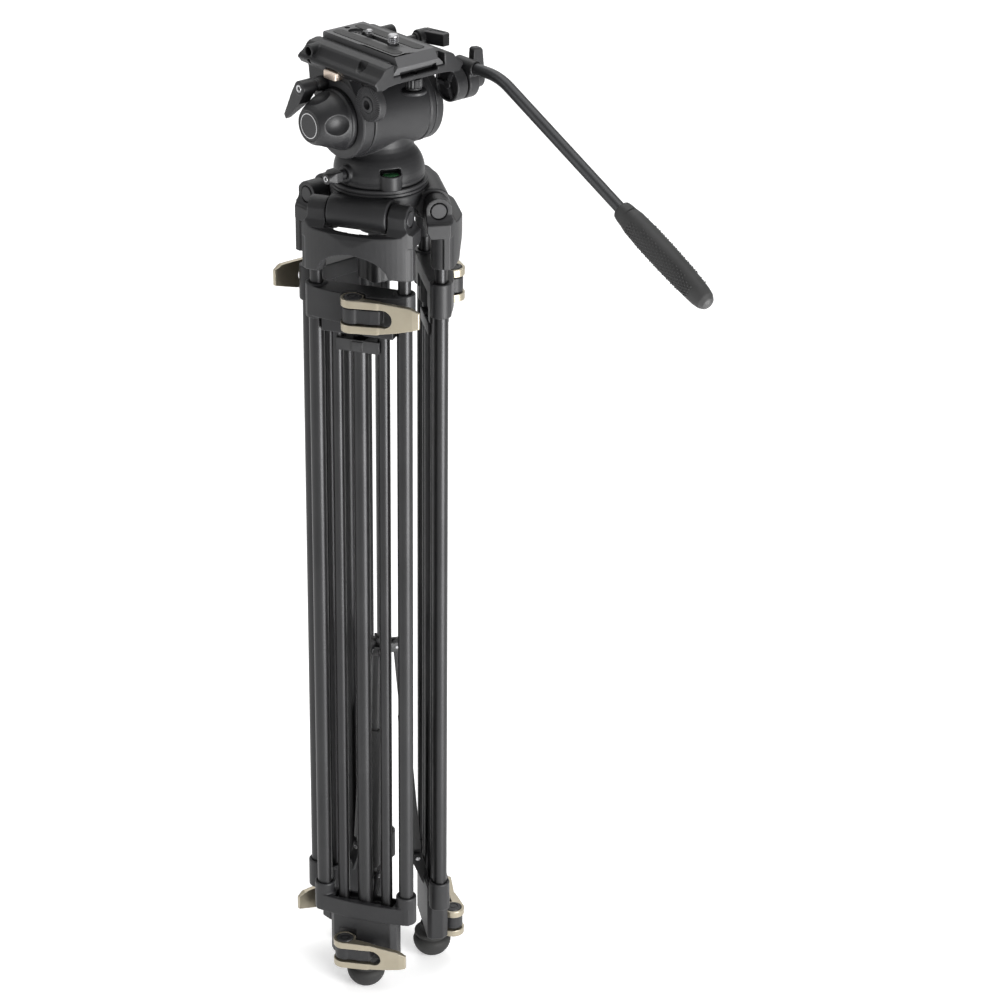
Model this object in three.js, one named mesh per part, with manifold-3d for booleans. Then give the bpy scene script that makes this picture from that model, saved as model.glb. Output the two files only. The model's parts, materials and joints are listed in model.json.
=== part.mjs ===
// Video tripod with a fluid head and a pan handle, folded and standing on its three feet.
// Millimetres, +Z up, +Y is the direction a camera would look. The tripod stands on z = 0
// and the last lines move the model so that its origin is the middle of its footprint.
import * as THREE from 'three';
import { mergeVertices } from 'three/addons/utils/BufferGeometryUtils.js';
import Module from 'manifold-3d';

const wasm = await Module();
wasm.setup();

// ---- driving dimensions -------------------------------------------------------------------
const GAP = 0.3; // running gap between pieces that touch
const LEG_NAMES = ['a', 'b', 'c'];
const LEG_STEP = -2 * Math.PI / 3; // leg a points along +Y, b and c follow clockwise

const PIN = { y: 44.5, z: 779.5, radius: 6.9, halfLength: 50.5 }; // leg hinge pins
const BARREL = { radius: 13, halfLength: 27.3 };
const TUBE_LINE = 47; // distance of every leg tube from the tripod axis
const OUTER = { x: 40.8, radius: 6.9, bore: 6.1, bottom: 86, top: 711.5 };
const STAGE = { radius: 5.75, bore: 3.3, bottom: 122, top: 748 }; // thin tubes of the yoke
const GUIDE = { x: 21.5, radius: 5.25, bore: 4.3, bottom: 82, top: 694 };
const CENTRE = { radius: 7.1, bore: 6, bottom: 25, top: 664 }; // lower section tube

const YOKE = { halfWidth: 51, front: 72, sideFront: 54, bottom: 727, windowHalf: 28.5, windowZ: 768 };
const YOKE_INSIDE = { y: -9.25, radius: 71.25 }; // round inner face of the yoke's front wall
const EAR = 11.5; // radius of the yoke's ears round the hinge pins
const SOCKET = { radius: 8.6, top: 764 }; // bosses of the yoke round the thin tubes
const CLAMP = { halfWidth: 51.3, back: 38, front: 64, sideFront: 55.5, bottom: 684, top: 713 };
const COLLAR = 9.6; // outer radius of the tube collars
const CASTING = { bottom: 78, top: 108, wallTop: 96, blockHalf: 33, blockBottom: 36, back: 37.5 };
const CLAW = { y: 65, radius: 10.8, height: 30, gap: 16, reach: 60, slotReach: 38 };
const UPPER_LEVER = { x: 0, bottom: 677 };
const LOWER_LEVER = { x: 14.2, bottom: 28.5 };

const ARM = { y: 32, z: 112, hubY: 13, hubZ: 340, half: 4.2, outerLength: 150, innerStart: 40 };
const HUB = { core: 5.5, gap: 4.5, ear: 2 }; // the ears stand clear of the bars between them
const SEAT = 792.5; // top of the bowl in the spider
const BASE = { radius: 42.5, bottom: 792.8, top: 799.1 };
const BALL = { radius: 36, z: 796 }; // levelling half ball
const STUD = { radius: 5, bottom: 716 }; // tie-down stud below the half ball
const TIE_DOWN = { radius: 19, lobeDepth: 3.5, bottom: 706, rimTop: 738, washer: 751, top: 756.6 };

const DOME = { bottom: 799.4, radius: 39.5 }; // pan housing below the fluid drum
const VIAL = { x: -15, y: -34, radius: 6.5, bottom: 808, top: 812.6, boss: 9.6, bossTop: 813 };
const PAN_LOCK = { y: -3, z: 810, shaft: 3, neck: 5.5, boss: 7.5 };
const TILT = { z: 860, radius: 35.5, left: -32, right: 35.5 }; // horizontal fluid housing
const CHEEK = { outer: 43.5, gap: 0.5, radius: 35 };
const SHAFT = 6; // radius of the tilt shaft
const PLATFORM = { back: -55, front: 50, bottom: 900, floor: 906.6, top: 916.5, half: 48 };
const LUG = { y: 37.5, z: 910.4, radius: 6, inner: 34, outer: 46.5 }; // stop lugs at the front
const PLATE = { y: -2.3, halfLength: 50.8, half: 22.3, footHalf: 27, bottom: 907, top: 919.2 };
const SLOT = { half: 3.6, start: -20, end: 24, keyhole: 5.2 }; // slot for the camera screws
const SCREWS = [
  { name: 'small_camera_screw', radius: 3.17, y: 12, top: 928.5 },
  { name: 'large_camera_screw', radius: 4.76, y: -20, top: 932 },
];
const PLATE_LOCK = { y: 10.7, z: 910, hub: 6.5, start: 50, end: 63, shaft: 3, shaftStart: 31 };
const DIAL = { x: -1.5, y: -49, radius: 7.2, flange: 9.5, shaft: 3, bottom: 886.5, top: 899.6 };
const ROSETTE = { y: -46, z: 885, radius: 15.5, inner: 33, face: 50, bolt: 4 };
const ROD = { x: 57, y: -46, z: 898.6, bendY: -92, radius: 5, drop: 25.9 * Math.PI / 180 };
const GRIP = { start: 170, length: 119, radius: 12, spigot: 30 };
const BUTTON = { y: 4.5, z: 896.5, halfLength: 8, halfHeight: 3.6, outer: -50, inner: -40, travel: 4 };
const KNOB = { start: -44, base: 26.7, end: -76, cap: 11.4 };
const LOCK = { x: -44, y: 18, z: 887.5, lean: 32, hub: 5.6, shaft: 3.5 }; // tilt lock lever, lean in degrees

// ---- materials ----------------------------------------------------------------------------
function finish(color, roughness, metalness) {
  return new THREE.MeshStandardMaterial({ color, roughness, metalness });
}
const blackPaint = () => finish(0x1d1d1e, 0.5, 0.1);
const anodised = () => finish(0x303134, 0.35, 0.7);
const blackPlastic = () => finish(0x18181a, 0.55, 0);
const rubber = () => finish(0x141414, 0.85, 0);
const champagne = () => finish(0xb9ae93, 0.4, 0.8);
const copper = () => finish(0xd0a284, 0.4, 0.7);
const steel = () => finish(0xb9babc, 0.3, 1);
const bubbleGreen = () => finish(0x2f6b3a, 0.15, 0);

// ---- solids -------------------------------------------------------------------------------
function solid(geometry) {
  const bare = geometry.clone();
  bare.deleteAttribute('normal');
  bare.deleteAttribute('uv');
  const welded = mergeVertices(bare, 1e-4);
  const vertProperties = new Float32Array(welded.attributes.position.array);
  const triVerts = new Uint32Array(welded.index.array);
  return new wasm.Manifold(new wasm.Mesh({ numProp: 3, vertProperties, triVerts }));
}

function geometryOf(body) {
  const mesh = body.getMesh();
  const geometry = new THREE.BufferGeometry();
  geometry.setAttribute('position', new THREE.BufferAttribute(mesh.vertProperties, mesh.numProp));
  geometry.setIndex(new THREE.BufferAttribute(mesh.triVerts, 1));
  return geometry;
}

function union(...bodies) {
  return bodies.reduce((whole, body) => whole.add(body));
}

// Box given by its lowest and highest corners.
function block(x0, y0, z0, x1, y1, z1) {
  const geometry = new THREE.BoxGeometry(x1 - x0, y1 - y0, z1 - z0);
  return solid(geometry.translate((x0 + x1) / 2, (y0 + y1) / 2, (z0 + z1) / 2));
}

// Cylinders along Z, X and Y, given by their centre line and their two ends.
function rodZ(radius, x, y, z0, z1, sides = 12) {
  const geometry = new THREE.CylinderGeometry(radius, radius, z1 - z0, sides);
  return solid(geometry.rotateX(Math.PI / 2).translate(x, y, (z0 + z1) / 2));
}

function rodX(radius, y, z, x0, x1, sides = 12) {
  const geometry = new THREE.CylinderGeometry(radius, radius, x1 - x0, sides);
  return solid(geometry.rotateZ(-Math.PI / 2).translate((x0 + x1) / 2, y, z));
}

function rodY(radius, x, z, y0, y1, sides = 12) {
  const geometry = new THREE.CylinderGeometry(radius, radius, y1 - y0, sides);
  return solid(geometry.translate(x, (y0 + y1) / 2, z));
}

function outline(points) {
  return new THREE.Shape(points.map(([u, v]) => new THREE.Vector2(u, v)));
}

function extrude(points, depth) {
  return new THREE.ExtrudeGeometry(outline(points), { depth, bevelEnabled: false, steps: 1 });
}

// Outline in X and Y, extruded from z0 to z1.
function upright(points, z0, z1) {
  return solid(extrude(points, z1 - z0).translate(0, 0, z0));
}

// Outline in Y and Z, extruded from x0 to x1.
function sideways(points, x0, x1) {
  const turn = new THREE.Matrix4().makeBasis(
    new THREE.Vector3(0, 1, 0), new THREE.Vector3(0, 0, 1), new THREE.Vector3(1, 0, 0));
  return solid(extrude(points, x1 - x0).applyMatrix4(turn).translate(x0, 0, 0));
}

// Outline in X and Z, extruded from y0 to y1.
function lengthways(points, y0, y1) {
  const turn = new THREE.Matrix4().makeBasis(
    new THREE.Vector3(1, 0, 0), new THREE.Vector3(0, 0, 1), new THREE.Vector3(0, -1, 0));
  return solid(extrude(points, y1 - y0).applyMatrix4(turn).translate(0, y1, 0));
}

// Profile of [radius, height] pairs, turned about the Z axis.
function turned(profile, sides = 20) {
  const points = profile.map(([r, h]) => new THREE.Vector2(r, h));
  return solid(new THREE.LatheGeometry(points, sides).rotateX(Math.PI / 2));
}

// Points on a circle from angle a0 to angle a1.
function arc(u, v, radius, a0, a1, count) {
  return Array.from({ length: count + 1 }, (_, i) => {
    const angle = a0 + (a1 - a0) * i / count;
    return [u + radius * Math.cos(angle), v + radius * Math.sin(angle)];
  });
}

// Convex front edge that passes through (-half, side), (0, front) and (half, side).
function bow(half, side, front, count) {
  const rise = front - side;
  const radius = (half * half + rise * rise) / (2 * rise);
  const swing = Math.asin(half / radius);
  return arc(0, front - radius, radius, Math.PI / 2 - swing, Math.PI / 2 + swing, count);
}

function mirrored(points) {
  return points.concat(points.map(([u, v]) => [-u, v]).reverse());
}

function pair(make) {
  return union(make(1), make(-1));
}

// Two distances from the middle plane as ends on the positive or the negative side.
function ends(side, near, far) {
  return side > 0 ? [near, far] : [-far, -near];
}

function piece(name, body, material, parent) {
  const mesh = new THREE.Mesh(geometryOf(body), material);
  mesh.name = name;
  parent.add(mesh);
  return mesh;
}

function tube(spec, x) {
  const wall = rodZ(spec.radius, x, TUBE_LINE, spec.bottom, spec.top);
  return wall.subtract(rodZ(spec.bore, x, TUBE_LINE, spec.bottom - 1, spec.top + 1));
}

// ---- one leg, in a frame whose +Y points outward from the tripod axis ----------------------
// Yoke that hangs on the spider's pin: two ears, a bowed front wall and two tube sockets.
function legYoke() {
  const plan = bow(YOKE.halfWidth, YOKE.sideFront, YOKE.front, 6);
  plan.push([-YOKE.halfWidth, PIN.y - EAR], [YOKE.halfWidth, PIN.y - EAR]);
  const side = [[38, YOKE.bottom], [57, YOKE.bottom], [66, 731], [70.5, 745], [72, 758], [71, 764]];
  side.push([65, 774], ...arc(PIN.y, PIN.z, EAR, Math.PI * 0.22, Math.PI, 5), [33.5, 762], [38, 752]);
  const casting = upright(plan, YOKE.bottom, 795).intersect(sideways(side, -52, 52));
  const inside = rodZ(YOKE_INSIDE.radius, 0, YOKE_INSIDE.y, 700, 800, 28);
  const middle = block(-YOKE.windowHalf, 20, 700, YOKE.windowHalf, 80, 800);
  const window = block(-YOKE.windowHalf, 20, YOKE.windowZ, YOKE.windowHalf, 80, 800);
  const arch = lengthways(arc(0, YOKE.bottom - 1, 33, 0, Math.PI, 8).map(
    ([x, z]) => [x, YOKE.bottom - 1 + (z - YOKE.bottom + 1) * 0.73]), 20, 90);
  const behind = block(-60, 20, 700, 60, 48, 756);
  const frame = casting.subtract(inside.intersect(middle)).subtract(window).subtract(arch);
  const socket = (s) => rodZ(SOCKET.radius, s * OUTER.x, TUBE_LINE, YOKE.bottom, SOCKET.top);
  const pinHole = rodX(PIN.radius + GAP, PIN.y, PIN.z, -60, 60);
  const body = frame.subtract(behind).add(pair(socket)).subtract(pinHole);
  const bore = (s) => rodZ(STAGE.radius + 0.01, s * OUTER.x, TUBE_LINE, 700, STAGE.top);
  const stage = (s) => tube(STAGE, s * OUTER.x);
  return body.subtract(pair(bore)).add(pair(stage));
}

// Block on top of the middle section, clamped on the thin tubes by the upper lever.
function upperClamp() {
  const plan = bow(CLAMP.halfWidth - 5, CLAMP.sideFront, CLAMP.front, 6);
  plan.push([-CLAMP.halfWidth + 5, CLAMP.back], [CLAMP.halfWidth - 5, CLAMP.back]);
  const collar = (s) => rodZ(COLLAR, s * OUTER.x, TUBE_LINE, CLAMP.bottom, CLAMP.top);
  const skirt = block(-33, 39, 671, 33, 56, CLAMP.bottom + 1);
  const lug = union(rodZ(9.5, UPPER_LEVER.x, CLAW.y, 685, 698.6), block(11.6, 55, 689, 19, 68, 703));
  const recess = (z0, z1) => rodZ(CLAW.radius + 0.6, UPPER_LEVER.x, CLAW.y, z0, z1);
  const deck = block(-34, 30, 703, 34, 57.5, 720);
  const outerBore = (s) => rodZ(OUTER.radius + GAP, s * OUTER.x, TUBE_LINE, 660, 720);
  const guideBore = (s) => rodZ(GUIDE.radius + GAP, s * GUIDE.x, TUBE_LINE, 660, GUIDE.top + GAP);
  return upright(plan, CLAMP.bottom, CLAMP.top).add(pair(collar)).add(skirt).subtract(deck)
    .subtract(recess(698.9, 720)).subtract(recess(670, 684.7)).add(lug)
    .subtract(pair(outerBore)).subtract(pair(guideBore));
}

// Casting at the bottom of the middle section with the clamp block of the lower lever.
function bottomCasting() {
  const { bottom, top, wallTop, blockHalf, blockBottom, back } = CASTING;
  const plan = bow(CLAMP.halfWidth - 5, CLAMP.sideFront, 60, 6);
  plan.push([-CLAMP.halfWidth + 5, back + 1], [CLAMP.halfWidth - 5, back + 1]);
  const collar = (s) => rodZ(COLLAR, s * OUTER.x, TUBE_LINE, bottom, top);
  const blockPlan = [[-blockHalf, 40], [-blockHalf + 4, back], [blockHalf - 4, back], [blockHalf, 40],
    [blockHalf, 53], [blockHalf - 5, 57.5], [-blockHalf + 5, 57.5], [-blockHalf, 53]];
  const pocket = block(-29.5, 41, 90, 29.5, 53.5, 120);
  const lug = rodZ(9.5, LOWER_LEVER.x, CLAW.y, 36.5, 50);
  const lugRoot = block(LOWER_LEVER.x - 9.5, 54, 36.5, LOWER_LEVER.x + 18, 65, 50);
  const recess = (z0, z1) => rodZ(CLAW.radius + 0.6, LOWER_LEVER.x, CLAW.y, z0, z1);
  const outerBore = (s) => rodZ(OUTER.radius + GAP, s * OUTER.x, TUBE_LINE, OUTER.bottom - GAP, 120);
  const guideBore = (s) => rodZ(GUIDE.radius + GAP, s * GUIDE.x, TUBE_LINE, GUIDE.bottom - GAP, 120);
  const centreBore = rodZ(CENTRE.radius + GAP, 0, TUBE_LINE, 20, 120);
  const ear = (s) => sideways([[ARM.y - 5, ARM.z - 4], [ARM.y - 3, ARM.z + 5], [ARM.y + 3, ARM.z + 5],
    [back + 4, 96], [back + 4, 84], [back, 84]], ...ends(s, 4.9, 7.9));
  return upright(plan, bottom, wallTop).add(pair(collar))
    .add(upright(blockPlan, blockBottom, wallTop - 2)).subtract(pocket).add(pair(ear))
    .subtract(recess(50.3, 62)).subtract(recess(20, 36.2)).add(lug).add(lugRoot)
    .subtract(pair(outerBore)).subtract(pair(guideBore)).subtract(centreBore);
}

// Tube of the lower section with the bridge that runs on the two guide tubes.
function lowerTube() {
  const bridge = block(-20, 39.5, 655, 20, 55, 666);
  const clearance = (s) => rodZ(GUIDE.radius + GAP, s * GUIDE.x, TUBE_LINE, 640, 680);
  const wall = rodZ(CENTRE.radius, 0, TUBE_LINE, CENTRE.bottom, CENTRE.top);
  const bore = rodZ(CENTRE.bore, 0, TUBE_LINE, CENTRE.bottom - 1, 670);
  return wall.add(bridge.subtract(pair(clearance))).subtract(bore);
}

function foot() {
  const profile = [[0, 0], [7, 0.8], [12.5, 4], [16, 9], [17.5, 14], [16.9, 20], [15.4, 21.5],
    [15.4, 23], [16.6, 24], [16.6, 27.4], [11, 28], [11, 35.5], [0, 35.5]];
  const socket = rodZ(CENTRE.radius + GAP, 0, 0, CENTRE.bottom - GAP, 40);
  return turned(profile, 14).subtract(socket).translate([0, TUBE_LINE, 0]);
}

// Forked clamp lever: two arms round its pivot that join in a palm.
function clampLever({ x, bottom }) {
  const { radius, height, gap, reach, slotReach } = CLAW;
  const head = arc(0, 0, radius, -Math.PI / 2 + 0.1, Math.PI / 2 + 0.3, 7);
  const plan = [...head, [-24, 7], [-27, 6], [-reach + 4, 7.5], [-reach, 6.5], [-reach, 3.5],
    [-26, 0.3], [-9, 0.3], [-8, -7]];
  const elevation = [[20, 0], [-24, 0], [-40, 4], [-reach, 10.5], [-reach, height - 5],
    [-reach + 10, height - 1.5], [-24, height - 1], [-12, height], [20, height]];
  const low = (height - gap) / 2;
  const end = gap / 2;
  const slot = [[20, low], ...arc(-slotReach + end, height / 2, end, -Math.PI / 2, -Math.PI * 1.5, 5),
    [20, height - low]];
  return upright(plan, 0, height).intersect(lengthways(elevation, -20, 20))
    .subtract(lengthways(slot, -20, 20)).translate([x, CLAW.y, bottom]);
}

// Spreader arms: a box section on the casting and a bar that slides in it.
function armFrame() {
  const group = new THREE.Group();
  group.position.set(0, ARM.y, ARM.z);
  group.rotation.x = Math.atan2(ARM.y - ARM.hubY, ARM.hubZ - ARM.z);
  return group;
}

function outerArm() {
  const { half, outerLength } = ARM;
  const section = block(-half, -half, -5, half, half, outerLength);
  const channel = block(-half + 1.2, -half + 1.2, 8, half - 1.2, half - 1.2, outerLength + 1);
  return section.subtract(channel).intersect(rodX(half + 1, 0, 0, -5, 5).add(
    block(-5, -5, 0, 5, 5, outerLength + 2)));
}

function innerArm() {
  const length = Math.hypot(ARM.y - ARM.hubY, ARM.hubZ - ARM.z);
  const half = ARM.half - 1.5;
  const bar = block(-half, -half, ARM.innerStart, half, half, length);
  return bar.add(rodX(4, 0, length, -half, half));
}

function buildLeg(index, parent) {
  const suffix = LEG_NAMES[index];
  const leg = new THREE.Group();
  leg.rotation.z = index * LEG_STEP;
  parent.add(leg);
  piece(`leg_yoke_${suffix}`, legYoke(), blackPaint(), leg);
  piece(`upper_clamp_${suffix}`, upperClamp(), blackPaint(), leg);
  piece(`outer_tube_right_${suffix}`, tube(OUTER, OUTER.x), anodised(), leg);
  piece(`outer_tube_left_${suffix}`, tube(OUTER, -OUTER.x), anodised(), leg);
  piece(`guide_tube_right_${suffix}`, tube(GUIDE, GUIDE.x), anodised(), leg);
  piece(`guide_tube_left_${suffix}`, tube(GUIDE, -GUIDE.x), anodised(), leg);
  piece(`bottom_casting_${suffix}`, bottomCasting(), blackPaint(), leg);
  piece(`upper_lever_${suffix}`, clampLever(UPPER_LEVER), champagne(), leg);
  piece(`lower_lever_${suffix}`, clampLever(LOWER_LEVER), champagne(), leg);
  piece(`lower_tube_${suffix}`, lowerTube(), anodised(), leg);
  piece(`foot_${suffix}`, foot(), rubber(), leg);
  const arm = armFrame();
  leg.add(arm);
  piece(`spreader_outer_${suffix}`, outerArm(), blackPaint(), arm);
  piece(`spreader_inner_${suffix}`, innerArm(), blackPaint(), arm);
}

// ---- crown of the tripod ------------------------------------------------------------------
function aroundLegs(body) {
  const degrees = THREE.MathUtils.radToDeg(LEG_STEP);
  return union(...LEG_NAMES.map((_, i) => body.rotate([0, 0, i * degrees])));
}

function spreaderHub() {
  const core = rodZ(HUB.core, 0, 0, ARM.hubZ - 6, ARM.hubZ + 6);
  const fork = (s) => {
    const [x0, x1] = ends(s, HUB.gap, HUB.gap + HUB.ear);
    return block(x0, 3, ARM.hubZ - 4.5, x1, ARM.hubY + 4, ARM.hubZ + 4.5);
  };
  return core.add(aroundLegs(pair(fork)));
}

// Lower half of the levelling ball.
function halfBall(radius) {
  const profile = [...arc(0, BALL.z, radius, -Math.PI / 2, 0, 6), [0, BALL.z]];
  return turned(profile, 24);
}

function spider() {
  const outside = [[0, 757], [24, 757], [31, 762], [40, 780], [42.5, 787], [42.5, SEAT], [0, SEAT]];
  const web = block(-23, 20, 766, 23, PIN.y, 790.5);
  const barrel = rodX(BARREL.radius, PIN.y, PIN.z, -BARREL.halfLength, BARREL.halfLength, 16);
  const pin = rodX(PIN.radius, PIN.y, PIN.z, -PIN.halfLength, PIN.halfLength);
  const opening = rodZ(16, 0, 0, 740, 790);
  return turned(outside, 24).add(aroundLegs(union(web, barrel, pin))).subtract(halfBall(BALL.radius + 1))
    .subtract(opening);
}

// Levelling half ball with the flat ring that the head stands on and the tie-down stud.
function levellingBase() {
  const below = block(-50, -50, 763, 50, 50, BASE.bottom + 1);
  return halfBall(BALL.radius).intersect(below).add(rodZ(BASE.radius, 0, 0, BASE.bottom, BASE.top, 24))
    .add(rodZ(STUD.radius, 0, 0, STUD.bottom, 770));
}

function lobed(radius, depth, lobes, count) {
  return Array.from({ length: count }, (_, i) => {
    const angle = 2 * Math.PI * i / count;
    const r = radius - depth * (0.5 - 0.5 * Math.cos(lobes * angle));
    return [r * Math.cos(angle), r * Math.sin(angle)];
  });
}

function tieDownKnob() {
  const { radius, lobeDepth, bottom, rimTop, washer, top } = TIE_DOWN;
  const neck = rodZ(10, 0, 0, rimTop - 8, washer + 1);
  const disc = rodZ(radius, 0, 0, washer, top, 20);
  const bore = rodZ(STUD.radius + GAP, 0, 0, STUD.bottom - GAP, 760);
  return upright(lobed(radius, lobeDepth, 5, 30), bottom, rimTop).add(neck).add(disc).subtract(bore);
}

// ---- fluid head ---------------------------------------------------------------------------
function panHousing() {
  const dome = [[0, DOME.bottom], [DOME.radius, DOME.bottom], [DOME.radius, 807], [38.6, 813],
    [36.4, 818.5], [32.1, 824.6], [29.8, 830], [29, 836], [29, 850], [0, 850]];
  const drum = rodX(TILT.radius, 0, TILT.z, TILT.left, TILT.right, 28);
  const vialBoss = rodZ(VIAL.boss, VIAL.x, VIAL.y, DOME.bottom, VIAL.bossTop);
  const lockBoss = rodX(PAN_LOCK.boss, PAN_LOCK.y, PAN_LOCK.z, -41, -20);
  const vialSeat = rodZ(VIAL.radius + GAP, VIAL.x, VIAL.y, VIAL.bottom - GAP, 826);
  const lockBore = rodX(PAN_LOCK.shaft + GAP, PAN_LOCK.y, PAN_LOCK.z, -50, -30);
  const shaftBore = rodX(SHAFT + GAP, 0, TILT.z, -60, 60);
  return turned(dome, 24).add(drum).add(vialBoss).add(lockBoss).subtract(vialSeat)
    .subtract(lockBore).subtract(shaftBore);
}

function panLockKnob() {
  const head = sideways([[-10.5, 805.5], [-8, 803.5], [2, 803.5], [4.5, 805.5], [4.5, 814.5],
    [2, 816.5], [-8, 816.5], [-10.5, 814.5]], -61, -46);
  const { y, z, shaft, neck } = PAN_LOCK;
  return head.add(rodX(neck, y, z, -47, -41 - GAP)).add(rodX(shaft, y, z, -42, -31));
}

function tiltShaft() {
  return rodX(SHAFT, 0, TILT.z, -CHEEK.outer, CHEEK.outer);
}

// The release button, or its pocket when a clearance and a depth are given.
function buttonBlock(clearance, depth) {
  const { y, z, halfLength, halfHeight, outer, inner } = BUTTON;
  return block(outer - clearance, y - halfLength - clearance, z - halfHeight - clearance,
    inner + depth, y + halfLength + clearance, z + halfHeight + clearance);
}

// Receiver for the camera plate with its two cheeks and the two handle rosettes, one casting.
function tiltPlatform() {
  const { back, front, bottom, floor, top, half } = PLATFORM;
  const section = mirrored([[24, bottom], [34, 899], [41, 897], [half, 904.5], [38, 914], [28, top + 0.5],
    [23.4, top], [23.4, 914], [28, 908.8], [28, floor]]);
  const receiver = lengthways(section, back, front);
  const cheekSide = [...arc(0, TILT.z, CHEEK.radius, Math.PI * 0.85, Math.PI * 2.1, 14), [40, 884],
    [42, 901], [-10, 901]];
  const cheeks = sideways(cheekSide, -CHEEK.outer, TILT.left - CHEEK.gap)
    .add(sideways(cheekSide, TILT.right + CHEEK.gap, CHEEK.outer));
  const lug = (s) => rodX(LUG.radius, LUG.y, LUG.z, ...ends(s, LUG.inner, LUG.outer));
  const rosette = (s) => rodX(ROSETTE.radius, ROSETTE.y, ROSETTE.z,
    ...ends(s, ROSETTE.inner, ROSETTE.face), 16);
  const hanger = (s) => {
    const [x0, x1] = ends(s, 34, 46);
    return block(x0, back, ROSETTE.z, x1, -37, 901);
  };
  const rosetteBore = rodX(ROSETTE.bolt + GAP, ROSETTE.y, ROSETTE.z, -70, 70);
  const pocket = buttonBlock(GAP, BUTTON.travel + 0.5);
  const lockBore = rodX(PLATE_LOCK.shaft + GAP, PLATE_LOCK.y, PLATE_LOCK.z, 30, 60);
  const dialBore = rodZ(DIAL.shaft + GAP, DIAL.x, DIAL.y, 890, 904);
  const leverBore = rodX(LOCK.shaft + GAP, LOCK.y, LOCK.z, -60, -34);
  const shaftBore = rodX(SHAFT + GAP, 0, TILT.z, -60, 60);
  return union(receiver, cheeks, pair(lug), pair(rosette), pair(hanger)).subtract(rosetteBore)
    .subtract(pocket).subtract(lockBore).subtract(dialBore).subtract(leverBore).subtract(shaftBore);
}

function cameraPlate() {
  const { y, halfLength, half, footHalf, bottom, top } = PLATE;
  const section = mirrored([[footHalf, bottom], [footHalf, 908.5], [half, 914], [half, top]]);
  const slot = block(-SLOT.half, SLOT.start, 900, SLOT.half, SLOT.end, 930)
    .add(rodZ(SLOT.keyhole, 0, SLOT.start, 900, 930));
  return lengthways(section, y - halfLength, y + halfLength).subtract(slot);
}

function plateScrew({ radius, y, top }) {
  const shank = rodZ(radius, 0, y, PLATE.bottom + GAP, top - 1);
  return shank.add(rodZ(radius - 0.6, 0, y, top - 1.5, top));
}

function plateLockLever() {
  const { y, z, hub: hubRadius, start, end, shaft: shaftRadius, shaftStart } = PLATE_LOCK;
  const hub = rodX(hubRadius, y, z, start, end);
  const shaft = rodX(shaftRadius, y, z, shaftStart, start + 1);
  const blade = upright([[56, 14], [66, 14], [71, -8], [69, -12], [62, -12], [56, 6]], 905, 915.5);
  return union(hub, shaft, blade);
}

function balanceDial() {
  const { x, y, radius, flange, shaft, bottom, top } = DIAL;
  const rim = upright(lobed(radius, 0.7, 12, 24), bottom + 2.5, top).translate([x, y, 0]);
  return rim.add(rodZ(flange, x, y, bottom, bottom + 3)).add(rodZ(shaft, x, y, top - 1.6, top + 3.9, 10));
}

// Drag knob: a domed cone with three finger hollows.
function dragKnob() {
  const { start, base, end, cap } = KNOB;
  const profile = [[0, 0], [base, 0], [base, 5], [25.5, 7], [23.5, 14], [20, 21], [15.5, 27.5],
    [cap + 1, -end + start - 1], [cap, -end + start], [0, -end + start]];
  const hollow = new THREE.SphereGeometry(11.5, 12, 8).translate(0, 25.5, 26);
  const hollows = [0, 1, 2].map((i) => solid(hollow).rotate([0, 0, 30 + 120 * i]));
  return turned(profile, 24).subtract(union(...hollows)).rotate([0, -90, 0])
    .translate([start, 0, TILT.z]);
}

function tiltLockLever() {
  const hub = rodX(LOCK.hub, 0, 0, -28, 0).add(rodX(LOCK.shaft, 0, 0, -1, 9));
  const blade = sideways([[-6, 5.5], [5, 6], [7, -4], [6.5, -33], [2, -36], [-2, -35], [-6.5, -6]],
    -27, -15);
  return hub.add(blade).rotate([LOCK.lean, 0, 0]).translate([LOCK.x, LOCK.y, LOCK.z]);
}

// ---- pan handle ---------------------------------------------------------------------------
function handleClamp() {
  const disc = rodX(ROSETTE.radius, ROSETTE.y, ROSETTE.z, ROSETTE.face + GAP, 62, 20);
  const sleeve = rodY(6.6, ROD.x, ROD.z, -62, -38).add(block(51, -60, 886, 62, -40, 899));
  const bolt = rodX(ROSETTE.bolt, ROSETTE.y, ROSETTE.z, ROSETTE.inner + 4, ROSETTE.face + 2);
  return union(disc, sleeve, bolt).subtract(rodY(ROD.radius + GAP, ROD.x, ROD.z, -70, ROD.y + GAP));
}

function handleLockKnob() {
  const hub = rodX(9, ROSETTE.y, ROSETTE.z, 62.3, 74);
  const wing = sideways([[-53, 883], [-39, 883], [-40.5, 912], [-43, 914.5], [-49, 914.5],
    [-51.5, 912]], 69, 76);
  return hub.add(wing);
}

// Axis of the handle: level out of the clamp, then down at the drop angle.
function handleLine() {
  const along = (distance) => new THREE.Vector3(ROD.x, ROD.bendY - distance * Math.cos(ROD.drop),
    ROD.z - distance * Math.sin(ROD.drop));
  const path = new THREE.CurvePath();
  const bendStart = new THREE.Vector3(ROD.x, ROD.bendY + 12, ROD.z);
  const bendEnd = along(12);
  path.add(new THREE.LineCurve3(new THREE.Vector3(ROD.x, ROD.y, ROD.z), bendStart));
  path.add(new THREE.QuadraticBezierCurve3(bendStart, new THREE.Vector3(ROD.x, ROD.bendY, ROD.z),
    bendEnd));
  path.add(new THREE.LineCurve3(bendEnd, along(GRIP.start + GRIP.spigot)));
  return { path, along };
}

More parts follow.
